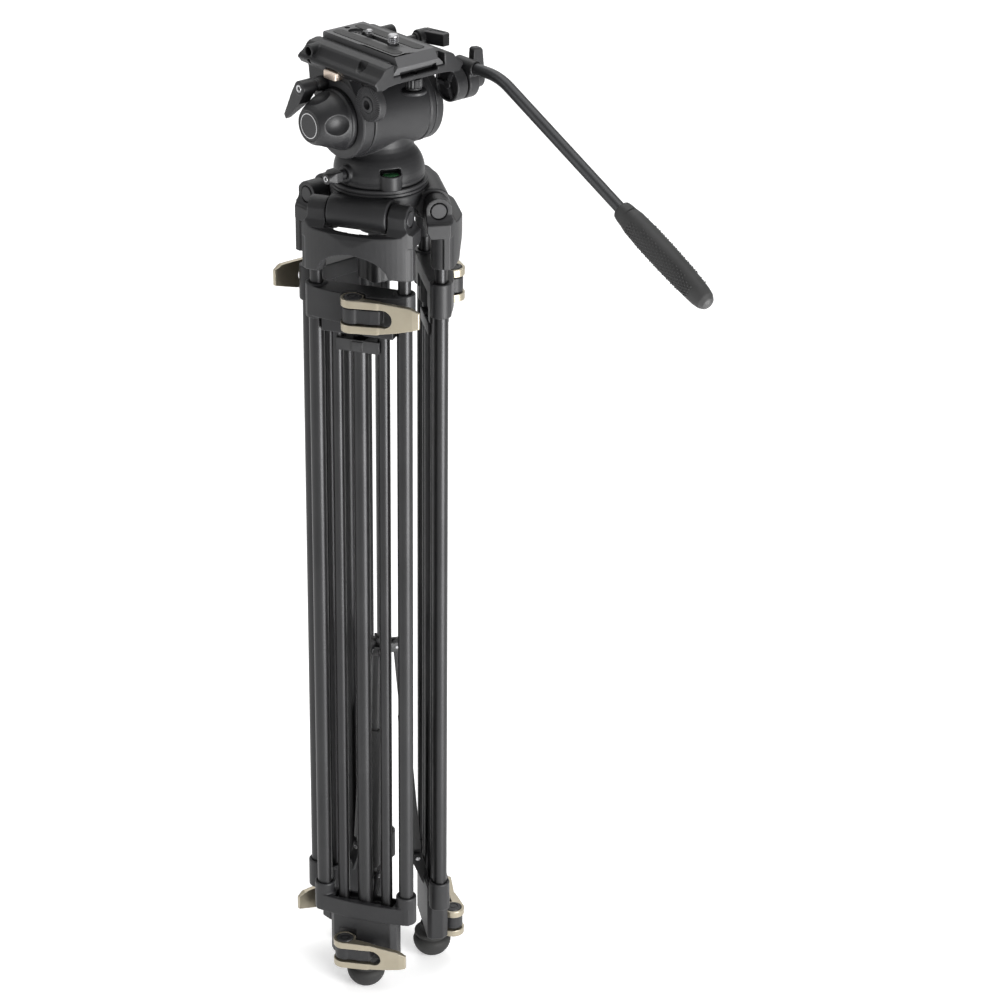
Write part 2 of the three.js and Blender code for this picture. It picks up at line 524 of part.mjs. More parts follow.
function handleRod() {
  const { path, along } = handleLine();
  const bend = path.curves[1];
  const points = [path.curves[0].v1, ...bend.getPoints(5), along(GRIP.start + GRIP.spigot)];
  const line = new THREE.CurvePath();
  points.slice(1).forEach((point, i) => {
    if (point.distanceTo(points[i]) > 1e-6) line.add(new THREE.LineCurve3(points[i], point));
  });
  const section = new THREE.Shape().absarc(0, 0, ROD.radius, 0, 2 * Math.PI);
  const options = { steps: 16, extrudePath: line, curveSegments: 5, bevelEnabled: false };
  return solid(new THREE.ExtrudeGeometry(section, options));
}

function handleGrip() {
  const { length, radius, spigot, start } = GRIP;
  const profile = [[0, 0], [8, 0], [9.5, 4], [10, 9], [11.4, 15], [radius, 35], [radius - 0.3, 70],
    [11, 95], [10.6, 104], [9.5, 111], [6.5, length - 2.5], [3, length - 0.4], [0, length]];
  const socket = rodZ(ROD.radius + GAP, 0, 0, -1, spigot + GAP);
  const axis = turned(profile, 14).subtract(socket);
  const drop = THREE.MathUtils.radToDeg(ROD.drop);
  const origin = handleLine().along(start);
  return axis.rotate([90 + drop, 0, 0]).translate(origin.toArray());
}

// ---- assembly -----------------------------------------------------------------------------
function buildHead(parent) {
  piece('levelling_base', levellingBase(), blackPaint(), parent);
  piece('tie_down_knob', tieDownKnob(), blackPlastic(), parent);
  piece('pan_housing', panHousing(), blackPaint(), parent);
  piece('bubble_vial', rodZ(VIAL.radius, VIAL.x, VIAL.y, VIAL.bottom, VIAL.top), bubbleGreen(), parent);
  piece('pan_lock_knob', panLockKnob(), blackPlastic(), parent);
  piece('tilt_shaft', tiltShaft(), steel(), parent);
  piece('tilt_platform', tiltPlatform(), blackPaint(), parent);
  piece('drag_knob', dragKnob(), blackPlastic(), parent);
  piece('tilt_lock_lever', tiltLockLever(), blackPlastic(), parent);
  piece('camera_plate', cameraPlate(), blackPaint(), parent);
  SCREWS.forEach((screw) => piece(screw.name, plateScrew(screw), steel(), parent));
  piece('plate_lock_lever', plateLockLever(), blackPlastic(), parent);
  piece('plate_release_button', buttonBlock(0, 0), copper(), parent);
  piece('balance_dial', balanceDial(), steel(), parent);
  piece('handle_clamp', handleClamp(), blackPaint(), parent);
  piece('handle_lock_knob', handleLockKnob(), blackPlastic(), parent);
  piece('handle_rod', handleRod(), anodised(), parent);
  piece('handle_grip', handleGrip(), rubber(), parent);
}

const tripod = new THREE.Group();
piece('spider', spider(), blackPaint(), tripod);
piece('spreader_hub', spreaderHub(), blackPaint(), tripod);
LEG_NAMES.forEach((_, index) => buildLeg(index, tripod));
buildHead(tripod);

// The origin is the middle of the footprint, on the floor.
const bounds = new THREE.Box3().setFromObject(tripod, true);
const middle = bounds.getCenter(new THREE.Vector3());
tripod.position.set(-middle.x, -middle.y, -bounds.min.z);

export default tripod;
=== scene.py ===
"""Looks of the folded video tripod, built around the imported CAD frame.

Pieces are modelled in millimetres in the tripod's own frame: its origin is on the floor
under the pan axis, +Y is the way a camera looks and +X is the operator's right. Leg pieces
are modelled once in a leg frame whose +Y points outward, then used by all three legs.
"""
import math

import bmesh
import bpy
from mathutils import Matrix, Vector
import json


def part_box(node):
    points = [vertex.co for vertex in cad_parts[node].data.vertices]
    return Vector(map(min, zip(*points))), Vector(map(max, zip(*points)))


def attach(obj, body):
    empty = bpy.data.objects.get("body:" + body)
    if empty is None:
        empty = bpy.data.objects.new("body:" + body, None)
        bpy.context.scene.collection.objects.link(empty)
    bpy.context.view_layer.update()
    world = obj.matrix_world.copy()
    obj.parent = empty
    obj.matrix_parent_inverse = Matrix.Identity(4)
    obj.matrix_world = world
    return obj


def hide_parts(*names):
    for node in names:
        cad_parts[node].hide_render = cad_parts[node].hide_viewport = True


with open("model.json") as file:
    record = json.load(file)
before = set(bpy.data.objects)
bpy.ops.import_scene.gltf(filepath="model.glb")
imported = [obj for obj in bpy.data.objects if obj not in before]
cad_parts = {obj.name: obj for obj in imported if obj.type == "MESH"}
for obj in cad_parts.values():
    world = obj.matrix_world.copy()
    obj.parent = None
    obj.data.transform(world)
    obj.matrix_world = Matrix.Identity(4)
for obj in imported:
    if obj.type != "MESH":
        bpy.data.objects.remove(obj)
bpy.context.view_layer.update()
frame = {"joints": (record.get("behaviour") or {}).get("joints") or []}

MM = 0.001
PI = math.pi
LEGS = "abc"

# ---- where things are, from the frame ------------------------------------------------------
base_low, base_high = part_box("levelling_base")
AXIS = Vector(((base_low.x + base_high.x) / 2, (base_low.y + base_high.y) / 2, 0))
JOINTS = {joint["name"]: joint for joint in frame["joints"]}


def pivot(joint):
    """Millimetre position of a joint in the tripod's frame."""
    return (Vector(JOINTS[joint]["pos_m"]) - AXIS) / MM


def span(node):
    """Lowest and highest corner of a CAD node in the tripod's frame, in millimetres."""
    low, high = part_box(node)
    return (low - AXIS) / MM, (high - AXIS) / MM


def middle(node):
    low, high = span(node)
    return (low + high) / 2


PIN = pivot("leg_splay_a")
OUTER_LOW, OUTER_HIGH = span("outer_tube_right_a")
GUIDE_LOW, GUIDE_HIGH = span("guide_tube_right_a")
CENTRE_LOW, CENTRE_HIGH = span("lower_tube_a")
CLAMP_LOW, CLAMP_HIGH = span("upper_clamp_a")
CAST_LOW, CAST_HIGH = span("bottom_casting_a")
UPPER_PIVOT = pivot("upper_lever_turn_a")
LOWER_PIVOT = pivot("lower_lever_turn_a")
FOLD = pivot("spreader_fold_a")
HUB = pivot("spreader_hub_level")
TILT = pivot("tilt")
ROSETTE = pivot("handle_angle")
PLATE_LOW, PLATE_HIGH = span("camera_plate")
BASE_HIGH = span("levelling_base")[1]
BUTTON_LOW, BUTTON_HIGH = span("plate_release_button")
TUBE_X = (OUTER_LOW.x + OUTER_HIGH.x) / 2
TUBE_Y = (OUTER_LOW.y + OUTER_HIGH.y) / 2
GUIDE_X = (GUIDE_LOW.x + GUIDE_HIGH.x) / 2
OUTER_R = 6.9
STAGE_R = 5.75
GUIDE_R = 5.25
CENTRE_R = 7.1
SLIP = 0.3
EAR_X = 45.0
PLATE_TOP = PLATE_HIGH.z + 2.0
BUTTON_LIFT = Vector((0, 0, 1.4))
LEVER_RISE = {"upper": 3.5, "lower": 3.0}
LEVER_HEIGHT = {"upper": 1.0, "lower": 0.91}
COLLAR_DROP = 10.5
SPIDER_TOP_Z = 792.5
RING_SEAT_Z = 792.8
HOLLOW_TURN = 8
DRUM_R = 35.5
VIAL = (-15, -34)


# ---- mesh tools -----------------------------------------------------------------------------
def made(bm, name="shape"):
    bmesh.ops.recalc_face_normals(bm, faces=bm.faces)
    mesh = bpy.data.meshes.new(name)
    bm.to_mesh(mesh)
    bm.free()
    item = bpy.data.objects.new(name, mesh)
    bpy.context.scene.collection.objects.link(item)
    return item


TURNS = {
    "X": lambda u, v, w: (w, u, v),
    "Y": lambda u, v, w: (u, w, v),
    "Z": lambda u, v, w: (u, v, w),
}


def prism(outline, start, end, axis="Z"):
    """Outline extruded along an axis: its points are (y, z) for X, (x, z) for Y, (x, y) for Z."""
    bm = bmesh.new()
    turn = TURNS[axis]
    rings = [[bm.verts.new(turn(u, v, w)) for u, v in outline] for w in (start, end)]
    count = len(outline)
    for ring in rings:
        bm.faces.new(ring)
    for i in range(count):
        j = (i + 1) % count
        bm.faces.new((rings[0][i], rings[0][j], rings[1][j], rings[1][i]))
    return made(bm)


def block(low, high):
    outline = [(low[0], low[1]), (high[0], low[1]), (high[0], high[1]), (low[0], high[1])]
    return prism(outline, low[2], high[2])


def arc(u, v, radius, start, end, count):
    steps = [start + (end - start) * i / count for i in range(count + 1)]
    return [(u + radius * math.cos(a), v + radius * math.sin(a)) for a in steps]


def lathe(profile, axis="Z", at=(0, 0, 0), sides=64):
    """Profile of (radius, height) pairs turned about an axis through a point. A profile that
    starts and ends away from the axis closes on itself."""
    bm = bmesh.new()
    turn = TURNS[axis]
    rings = []
    for radius, height in profile:
        if radius < 1e-6:
            rings.append([bm.verts.new(turn(0, 0, height))])
        else:
            steps = [2 * PI * i / sides for i in range(sides)]
            rings.append([bm.verts.new(turn(radius * math.cos(a), radius * math.sin(a), height))
                          for a in steps])
    closed = len(rings[0]) > 1
    pairs = list(zip(rings, rings[1:] + ([rings[0]] if closed else [])))
    for first, second in pairs:
        for i in range(sides):
            j = (i + 1) % sides
            corners = [first[i % len(first)], first[j % len(first)],
                       second[j % len(second)], second[i % len(second)]]
            unique = list(dict.fromkeys(corners))
            if len(unique) > 2:
                bm.faces.new(unique)
    bmesh.ops.translate(bm, verts=bm.verts, vec=Vector(at))
    return made(bm)


def rod(axis, radius, at, start, end, edge=0.0, sides=48):
    """Cylinder along an axis through the point `at`, with chamfered edges."""
    profile = [(0, start), (radius - edge, start), (radius, start + edge), (radius, end - edge),
               (radius - edge, end), (0, end)]
    if edge == 0:
        profile = [(0, start), (radius, start), (radius, end), (0, end)]
    shift = {"X": (0, at[0], at[1]), "Y": (at[0], 0, at[1]), "Z": (at[0], at[1], 0)}[axis]
    return lathe(profile, axis, shift, sides)


def pipe(radius, bore, at, start, end, edge=0.5, sides=40):
    profile = [(bore, start), (radius - edge, start), (radius, start + edge), (radius, end - edge),
               (radius - edge, end), (bore, end)]
    return lathe(profile, "Z", (at[0], at[1], 0), sides)


def hull(points):
    """Smallest convex body round the points."""
    bm = bmesh.new()
    for point in points:
        bm.verts.new(point)
    result = bmesh.ops.convex_hull(bm, input=bm.verts)
    bmesh.ops.delete(bm, geom=result["geom_interior"], context="VERTS")
    return made(bm)


def circle(axis, radius, at, position, count=40):
    """Points of a circle whose axis runs along X, Y or Z at the given position."""
    turn = TURNS[axis]
    return [turn(u, v, position) for u, v in arc(at[0], at[1], radius, 0, 2 * PI, count)[:-1]]


def stadium(x, half, start, end, count=16):
    """Outline of a strip with round ends, along Y."""
    return (arc(x, end - half, half, 0, PI, count) + arc(x, start + half, half, PI, 2 * PI, count))


def ball(radius, at, rings=24):
    profile = [(radius * math.sin(PI * i / rings), -radius * math.cos(PI * i / rings))
               for i in range(rings + 1)]
    profile[0] = (0, -radius)
    profile[-1] = (0, radius)
    return lathe(profile, "Z", at, 2 * rings)


def bake(item):
    """Replaces an object's mesh with the result of its modifiers."""
    bpy.context.view_layer.update()
    graph = bpy.context.evaluated_depsgraph_get()
    mesh = bpy.data.meshes.new_from_object(item.evaluated_get(graph))
    old = item.data
    item.modifiers.clear()
    item.data = mesh
    bpy.data.meshes.remove(old)
    return item


def drop(item):
    mesh = item.data
    bpy.data.objects.remove(item)
    if mesh.users == 0:
        bpy.data.meshes.remove(mesh)


def combine(operation, item, tools):
    for tool in tools:
        modifier = item.modifiers.new("combine", "BOOLEAN")
        modifier.operation = operation
        modifier.solver = "MANIFOLD"
        modifier.object = tool
    bake(item)
    for tool in tools:
        drop(tool)
    return item


def join(item, *tools):
    return combine("UNION", item, tools)


def cut(item, *tools):
    return combine("DIFFERENCE", item, tools)


def common(item, *tools):
    return combine("INTERSECT", item, tools)


def moved(item, matrix):
    item.data.transform(matrix)
    return item


def spun(item, degrees, axis="Z", about=(0, 0, 0)):
    centre = Matrix.Translation(Vector(about))
    return moved(item, centre @ Matrix.Rotation(math.radians(degrees), 4, axis) @ centre.inverted())


def soften(item, voxel=0.6, passes=6, keep=0.35):
    """Rounds every edge as a casting or a moulding has them: remeshes, relaxes and thins."""
    remesh = item.modifiers.new("remesh", "REMESH")
    remesh.mode = "VOXEL"
    remesh.voxel_size = voxel
    relax = item.modifiers.new("relax", "SMOOTH")
    relax.factor = 0.5
    relax.iterations = passes
    thin = item.modifiers.new("thin", "DECIMATE")
    thin.ratio = keep
    bake(item)
    item.data.shade_smooth()
    return item


def crisp(item, width=0.4, segments=2, angle=30):
    """Bevels the edges of a machined piece."""
    flat = item.modifiers.new("flat", "DECIMATE")
    flat.decimate_type = "DISSOLVE"
    flat.angle_limit = math.radians(0.5)
    bevel = item.modifiers.new("bevel", "BEVEL")
    bevel.width = width
    bevel.segments = segments
    bevel.limit_method = "ANGLE"
    bevel.angle_limit = math.radians(angle)
    bevel.use_clamp_overlap = True
    bake(item)
    item.data.shade_smooth()
    item.data.set_sharp_from_angle(angle=math.radians(35))
    return item


def smooth(item, angle=35):
    item.data.shade_smooth()
    item.data.set_sharp_from_angle(angle=math.radians(angle))
    return item


# ---- materials ------------------------------------------------------------------------------
class Nodes:
    """Short names for building a node material."""

    def __init__(self, name):
        self.material = bpy.data.materials.new(name)
        self.material.use_nodes = True
        self.tree = self.material.node_tree
        self.shader = self.tree.nodes["Principled BSDF"]
        self.coordinates = self.add("ShaderNodeTexCoord").outputs["Object"]

    def add(self, kind, **values):
        node = self.tree.nodes.new(kind)
        for key, value in values.items():
            setattr(node, key, value)
        return node

    def link(self, output, target):
        self.tree.links.new(output, target)

    def noise(self, scale, detail=3.0, stretch=(1, 1, 1)):
        mapping = self.add("ShaderNodeMapping")
        mapping.inputs["Scale"].default_value = stretch
        self.link(self.coordinates, mapping.inputs["Vector"])
        noise = self.add("ShaderNodeTexNoise")
        noise.inputs["Scale"].default_value = scale
        noise.inputs["Detail"].default_value = detail
        self.link(mapping.outputs["Vector"], noise.inputs["Vector"])
        return noise.outputs["Fac"]

    def ramp(self, value, low, high, color_low, color_high):
        ramp = self.add("ShaderNodeValToRGB")
        ramp.color_ramp.elements[0].position = low
        ramp.color_ramp.elements[1].position = high
        ramp.color_ramp.elements[0].color = (*color_low, 1)
        ramp.color_ramp.elements[1].color = (*color_high, 1)
        self.link(value, ramp.inputs["Fac"])
        return ramp.outputs["Color"]

    def span(self, value, low, high):
        span = self.add("ShaderNodeMapRange")
        span.inputs["To Min"].default_value = low
        span.inputs["To Max"].default_value = high
        self.link(value, span.inputs["Value"])
        return span.outputs["Result"]

    def mix(self, factor, first, second, blend="MIX"):
        mix = self.add("ShaderNodeMix", data_type="RGBA", blend_type=blend)
        if isinstance(factor, float):
            mix.inputs["Factor"].default_value = factor
        else:
            self.link(factor, mix.inputs["Factor"])
        self.link(first, mix.inputs[6])
        self.link(second, mix.inputs[7])
        return mix.outputs[2]

    def edges(self, low=0.51, high=0.60):
        """White on outer edges, where a finish wears first."""
        pointiness = self.add("ShaderNodeNewGeometry").outputs["Pointiness"]
        return self.ramp(pointiness, low, high, (0, 0, 0), (1, 1, 1))

    def bump(self, height, strength, distance):
        bump = self.add("ShaderNodeBump")
        bump.inputs["Strength"].default_value = strength
        bump.inputs["Distance"].default_value = distance
        self.link(height, bump.inputs["Height"])
        self.link(bump.outputs["Normal"], self.shader.inputs["Normal"])


def finish_material(name, dark, light, metallic, rough, grain, bump, worn=None, specular=0.5,
                    stretch=(1, 1, 1), clouds=35.0):
    """A finish with slow colour clouds, fine grain in roughness and bump, and paler edges."""
    nodes = Nodes(name)
    cloud = nodes.noise(clouds, 4.0)
    colour = nodes.ramp(cloud, 0.3, 0.7, dark, light)
    if worn:
        bright = nodes.add("ShaderNodeRGB").outputs["Color"]
        bright.default_value = (*worn, 1)
        colour = nodes.mix(nodes.edges(), colour, bright)
    nodes.link(colour, nodes.shader.inputs["Base Color"])
    fine = nodes.noise(grain, 2.0, stretch)
    nodes.link(nodes.span(fine, rough[0], rough[1]), nodes.shader.inputs["Roughness"])
    nodes.bump(fine, bump, 0.0002)
    nodes.shader.inputs["Metallic"].default_value = metallic
    nodes.shader.inputs["Specular IOR Level"].default_value = specular
    return nodes.material


MATERIALS = {
    "black_paint": finish_material(
        "satin_black_casting", (0.010, 0.010, 0.011), (0.016, 0.016, 0.017), 0.0, (0.40, 0.52),
        2600.0, 0.25, worn=(0.035, 0.035, 0.037), specular=0.36),
    "anodised_tube": finish_material(
        "grey_anodised_tube", (0.037, 0.037, 0.038), (0.046, 0.046, 0.047), 0.9, (0.35, 0.42),
        900.0, 0.03, stretch=(1, 1, 0.02), clouds=14.0),
    "anodised_rod": finish_material(
        "grey_anodised_rod", (0.040, 0.041, 0.043), (0.052, 0.053, 0.055), 0.7, (0.34, 0.44),
        900.0, 0.10, clouds=14.0),
    "champagne_lever": finish_material(
        "champagne_anodised", (0.33, 0.295, 0.225), (0.39, 0.35, 0.27), 0.9, (0.30, 0.42),
        3000.0, 0.22, worn=(0.60, 0.56, 0.47)),
    "black_plastic": finish_material(
        "moulded_black", (0.007, 0.007, 0.008), (0.012, 0.012, 0.013), 0.0, (0.36, 0.52),
        2200.0, 0.35, worn=(0.026, 0.026, 0.027), specular=0.4),
    "rubber_foot": finish_material(
        "foot_rubber", (0.013, 0.013, 0.013), (0.022, 0.022, 0.021), 0.0, (0.62, 0.82),
        1500.0, 0.45, specular=0.35),
    "rubber_grip": finish_material(
        "grip_rubber", (0.022, 0.022, 0.022), (0.032, 0.032, 0.032), 0.0, (0.46, 0.64),
        1900.0, 0.35, specular=0.4),
    "spreader_black": finish_material(
        "spreader_coat", (0.016, 0.016, 0.017), (0.028, 0.028, 0.029), 0.0, (0.45, 0.62),
        1400.0, 0.5, worn=(0.07, 0.07, 0.07)),
    "plate_paint": finish_material(
        "satin_black_plate", (0.026, 0.026, 0.027), (0.036, 0.036, 0.037), 0.0, (0.38, 0.50),
        2600.0, 0.25, worn=(0.07, 0.07, 0.072)),
    "copper_button": finish_material(
        "copper_anodised", (0.66, 0.54, 0.44), (0.76, 0.63, 0.52), 0.85, (0.30, 0.42),
        2600.0, 0.15, worn=(0.88, 0.78, 0.70)),
    "steel": finish_material(
        "turned_steel", (0.30, 0.30, 0.31), (0.42, 0.42, 0.43), 1.0, (0.26, 0.42),
        1800.0, 0.12, stretch=(0.2, 0.2, 1), worn=(0.62, 0.62, 0.63)),
}


def glass_material():
    nodes = Nodes("green_spirit")
    colour = nodes.ramp(nodes.noise(160.0), 0.35, 0.7, (0.004, 0.035, 0.010), (0.025, 0.16, 0.045))
    nodes.link(colour, nodes.shader.inputs["Base Color"])
    nodes.link(nodes.span(nodes.noise(700.0), 0.02, 0.10), nodes.shader.inputs["Roughness"])
    nodes.shader.inputs["Coat Weight"].default_value = 1.0
    return nodes.material


MATERIALS["bubble_glass"] = glass_material()
tube_shader = MATERIALS["anodised_tube"].node_tree.nodes["Principled BSDF"]
tube_shader.inputs["Anisotropic"].default_value = 0.5
tube_shader.inputs["Anisotropic Rotation"].default_value = 0.25


# ---- placing --------------------------------------------------------------------------------
def leg_matrix(index):
    return Matrix.Translation(AXIS) @ Matrix.Rotation(-2 * PI / 3 * index, 4, "Z")


def settle(item, name, body, slot, replaced, matrix, material=None):
    item.name = name
    item.data.name = name
    item.data.materials.clear()
    item.data.materials.append(MATERIALS[material or slot])
    item.matrix_world = matrix
    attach(item, body)
    if replaced:
        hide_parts(replaced)
    return item


def place(item, name, body, slot, replaced=None, material=None):
    """Puts a finished head piece in the frame."""
    item.data.transform(Matrix.Scale(MM, 4))
    return settle(item, name, body, slot, replaced, Matrix.Translation(AXIS), material)


def place_on_legs(item, name, body, slot, replaced=None, material=None):
    """Puts a finished leg piece on each of the three legs; the legs share its mesh."""
    item.data.transform(Matrix.Scale(MM, 4))
    for index, letter in enumerate(LEGS):
        copy = item if index == 0 else item.copy()
        if index:
            bpy.context.scene.collection.objects.link(copy)
        node = replaced and f"{replaced}_{letter}"
        settle(copy, f"{name}_{letter}", f"{body}_{letter}", slot, node, leg_matrix(index),
               material)


def bow(half, side, front, count=24):
    rise = front - side
    radius = (half * half + rise * rise) / (2 * rise)
    swing = math.asin(half / radius)
    return arc(0, front - radius, radius, PI / 2 - swing, PI / 2 + swing, count)


# ---- legs -----------------------------------------------------------------------------------
def yoke_casting():
    half, bottom, sill = 51, 727, 768
    plan = bow(half, 54, 72) + [(-half, PIN.y - 11), (half, PIN.y - 11)]
    side = [(38, bottom), (57, bottom), (65, 730), (69.5, 738), (71.5, 748), (72, 758), (71, 764)]
    side += [(65, 774)] + arc(PIN.y, PIN.z, 11.5, PI * 0.22, PI, 14) + [(33.5, 762), (38, 752)]
    body = common(prism(plan, bottom, 795), prism(side, -52, 52, "X"))
    inside = common(rod("Z", 71.25, (0, -9.25), 700, 800, sides=160),
                    block((-28.5, 20, 700), (28.5, 80, 800)))
    window = block((-28.5, 20, sill), (28.5, 80, 800))
    arch = [(x, bottom - 1 + (z - bottom + 1) * 0.73)
            for x, z in arc(0, bottom - 1, 33, 0, PI, 32)]
    behind = block((-60, 20, 700), (60, 48, 756))
    body = cut(body, inside)
    body = cut(body, window)
    body = cut(body, prism(arch, 20, 90, "Y"))
    body = cut(body, behind)
    front = PIN.y + 11.8
    body = cut(body, prism([(front, 800), (front, 773), (front + 4, 767.5), (90, 766), (90, 800)],
                           -60, 60, "X"))
    for s in (1, -1):
        shoulder = [(s * EAR_X, 800), (s * EAR_X, 776), (s * (EAR_X + 3), 770), (s * 60, 764),
                    (s * 60, 800)]
        body = cut(body, prism(shoulder, 20, 90, "Y"))
        body = join(body, rod("Z", 8.6, (s * TUBE_X, TUBE_Y), bottom, 764))
        scoop = rod("Z", 9.5, (s * 54.5, 62.5), 700, 757)
        body = cut(body, scoop)
        body = cut(body, rod("Z", STAGE_R + SLIP, (s * TUBE_X, TUBE_Y), 700, 748))
        cap_seat = rod("X", 7.5, (PIN.y, PIN.z), s * EAR_X - 1.2, s * EAR_X + 2)
        body = cut(body, cap_seat)
    body = cut(body, rod("X", 7.2, (PIN.y, PIN.z), -60, 60))
    return soften(body, 0.6, 5)


def tongue(hinge, low, high):
    """Jaw end that fills the slot of a closed fork lever."""
    plan = [(0, -9), (0, 7.6), (-18, 6.4), (-26, 4.2), (-27, -9)]
    return prism([(hinge.x + x, hinge.y + y) for x, y in plan], low, high)


def upper_clamp_block():
    bottom, top = 684, CLAMP_HIGH.z
    plan = bow(46.3, 55.5, 64) + [(-46.3, 38), (46.3, 38)]
    body = prism(plan, bottom, top - 1.5)
    for s in (1, -1):
        body = join(body, rod("Z", 9.6, (s * TUBE_X, TUBE_Y), bottom - 3, top, 0.6))
    body = join(body, block((-33, 39, CLAMP_LOW.z), (33, 56, bottom + 1)))
    body = cut(body, block((-24, 30, 668), (24, 45, 697)))
    for low, high in ((702.4, 730), (660, 688.2)):
        body = cut(body, rod("Z", 11.3, (UPPER_PIVOT.x, UPPER_PIVOT.y), low, high))
    body = join(body, rod("Z", 9.3, (UPPER_PIVOT.x, UPPER_PIVOT.y), 688.5, 702.1))
    body = join(body, tongue(UPPER_PIVOT, 688.8, 701.8))
    for s in (1, -1):
        body = join(body, rod("Z", 7.6, (s * GUIDE_X, TUBE_Y), CLAMP_LOW.z, 700))
        body = cut(body, rod("Z", OUTER_R + SLIP, (s * TUBE_X, TUBE_Y), 660, top - 4))
        body = cut(body, rod("Z", STAGE_R + 0.5, (s * TUBE_X, TUBE_Y), 660, 720))
        body = cut(body, rod("Z", GUIDE_R + SLIP, (s * GUIDE_X, TUBE_Y), 660, 694.3))
    return soften(body, 0.55, 4)


def bottom_block():
    bottom, top = 78, CAST_HIGH.z - COLLAR_DROP
    plan = bow(46.3, 55.5, 60) + [(-46.3, 38.5), (46.3, 38.5)]
    body = prism(plan, bottom, 95)
    for s in (1, -1):
        body = join(body, rod("Z", 9.6, (s * TUBE_X, TUBE_Y), bottom, top, 0.6))
    foot_plan = [(-33, 41), (-29, 37.5), (29, 37.5), (33, 41), (33, 52), (28, 57.5), (-28, 57.5),
                 (-33, 52)]
    body = join(body, prism(foot_plan, CAST_LOW.z, 92))
    body = cut(body, block((-29.5, 41, 89), (29.5, 53.5, 120)))
    for low, high in ((52.9, 64), (20, 39.1)):
        body = cut(body, rod("Z", 11.3, (LOWER_PIVOT.x, LOWER_PIVOT.y), low, high))
    body = join(body, rod("Z", 9.3, (LOWER_PIVOT.x, LOWER_PIVOT.y), 39.4, 52.6))
    body = join(body, tongue(LOWER_PIVOT, 39.6, 52.4))
    ear = [(FOLD.y - 5, FOLD.z - 4), (FOLD.y - 3, FOLD.z + 5), (FOLD.y + 3, FOLD.z + 5), (42, 96),
           (42, 84), (37, 84)]
    for low, high in ((4.9, 7.9), (-7.9, -4.9)):
        body = join(body, prism(ear, low, high, "X"))
    for s in (1, -1):
        body = cut(body, rod("Z", OUTER_R + SLIP, (s * TUBE_X, TUBE_Y), OUTER_LOW.z, 120))
        body = cut(body, rod("Z", GUIDE_R + SLIP, (s * GUIDE_X, TUBE_Y), GUIDE_LOW.z, 120))
        body = cut(body, rod("Z", 0.8, (s * 30, 60.5), 36, 78))
    body = cut(body, rod("Z", CENTRE_R + SLIP, (0, TUBE_Y), 20, 120))
    return soften(body, 0.6, 4)


def clamp_lever():
    """Forked lever about its pivot; its lowest face is at height 0."""
    height, gap, reach = 30, 16, 63
    plan = arc(0, 0, 10.8, -PI / 2 + 0.1, PI / 2 + 0.3, 24)
    plan += [(-24, 7), (-27, 6), (-reach + 6, 8.2), (-reach, 6.6), (-reach, 3.6), (-30, 1.6),
             (-24, 0.3), (-9, 0.3), (-8.5, -6.5)]
    elevation = [(20, 0), (-24, 0), (-42, 4.2), (-reach, 10.5), (-reach, height - 5),
                 (-reach + 8, height - 1.2), (-28, height - 0.8), (-12, height), (20, height)]
    low = (height - gap) / 2
    slot = [(20, low)] + arc(-30, height / 2, gap / 2, -PI / 2, -PI * 1.5, 20)
    slot += [(20, height - low)]
    body = common(prism(plan, 0, height), prism(elevation, -20, 20, "Y"))
    body = cut(body, prism(slot, -20, 20, "Y"))
    body = cut(body, rod("Z", 8.2, (0, 0), height - 1.2, height + 5))
    body = cut(body, rod("Z", 8.2, (0, 0), -5, 1.2))
    return soften(body, 0.38, 3, 0.3)


def lever_caps():
    """Black pivot discs of a lever, one in each face of the fork, joined by the pivot pin."""
    profile = [(0, 0), (6.4, 0), (7.6, 0.5), (7.9, 1.2), (7.9, 3), (3.2, 3), (3.2, 27), (7.9, 27),
               (7.9, 29.6), (7.4, 30.4), (5.2, 30.7), (4.6, 30.2), (2.6, 30.2), (2.2, 30.6),
               (0, 30.6)]
    return smooth(lathe(profile, sides=48))


def foot_rubber():
    profile = [(0, 0), (5, 0.3)] + arc(0, 18.2, 18.2, -PI / 2 + 0.35, -0.12, 12)
    profile += [(18.1, 17.6), (17.2, 20.4), (15.0, 21.6), (15.0, 22.8), (16.2, 23.6), (16.7, 24.4),
                (16.7, 26.8), (16.2, 27.5), (11.5, 28), (11, 29), (11, 35.2), (10.5, 35.5),
                (7.5, 35.5), (7.5, 24.8), (0, 24.8)]
    return smooth(lathe(profile, at=(0, TUBE_Y, 0), sides=72), 45)


def guide_bridge():
    body = block((-20, 39.5, 655), (20, 55, 666))
    for s in (1, -1):
        body = cut(body, rod("Z", GUIDE_R + SLIP, (s * GUIDE_X, TUBE_Y), 640, 680))
    body = join(body, block((-5, 54, 656.5), (5, 56.2, 664.5)))
    body = cut(body, rod("Z", CENTRE_R + 0.05, (0, TUBE_Y), 640, 680))
    return crisp(body, 0.7, 3)


def leg_tubes():
    for s, side in ((1, "right"), (-1, "left")):
        outer = smooth(pipe(OUTER_R, 6.1, (s * TUBE_X, TUBE_Y), OUTER_LOW.z, CLAMP_HIGH.z - 4.5))
        place_on_legs(outer, f"tube_outer_{side}", "middle_section", "anodised_tube",
                      f"outer_tube_{side}")
        guide = smooth(pipe(GUIDE_R, 4.3, (s * GUIDE_X, TUBE_Y), GUIDE_LOW.z, GUIDE_HIGH.z))
        place_on_legs(guide, f"tube_guide_{side}", "middle_section", "anodised_tube",
                      f"guide_tube_{side}")
        stage = smooth(pipe(STAGE_R, 5, (s * TUBE_X, TUBE_Y), 122, 747.5))
        place_on_legs(stage, f"tube_stage_{side}", "upper_section", "anodised_tube")
    centre = smooth(pipe(CENTRE_R, 6, (0, TUBE_Y), CENTRE_LOW.z, CENTRE_HIGH.z - 2.5))
    place_on_legs(centre, "tube_centre", "lower_section", "anodised_tube", "lower_tube")


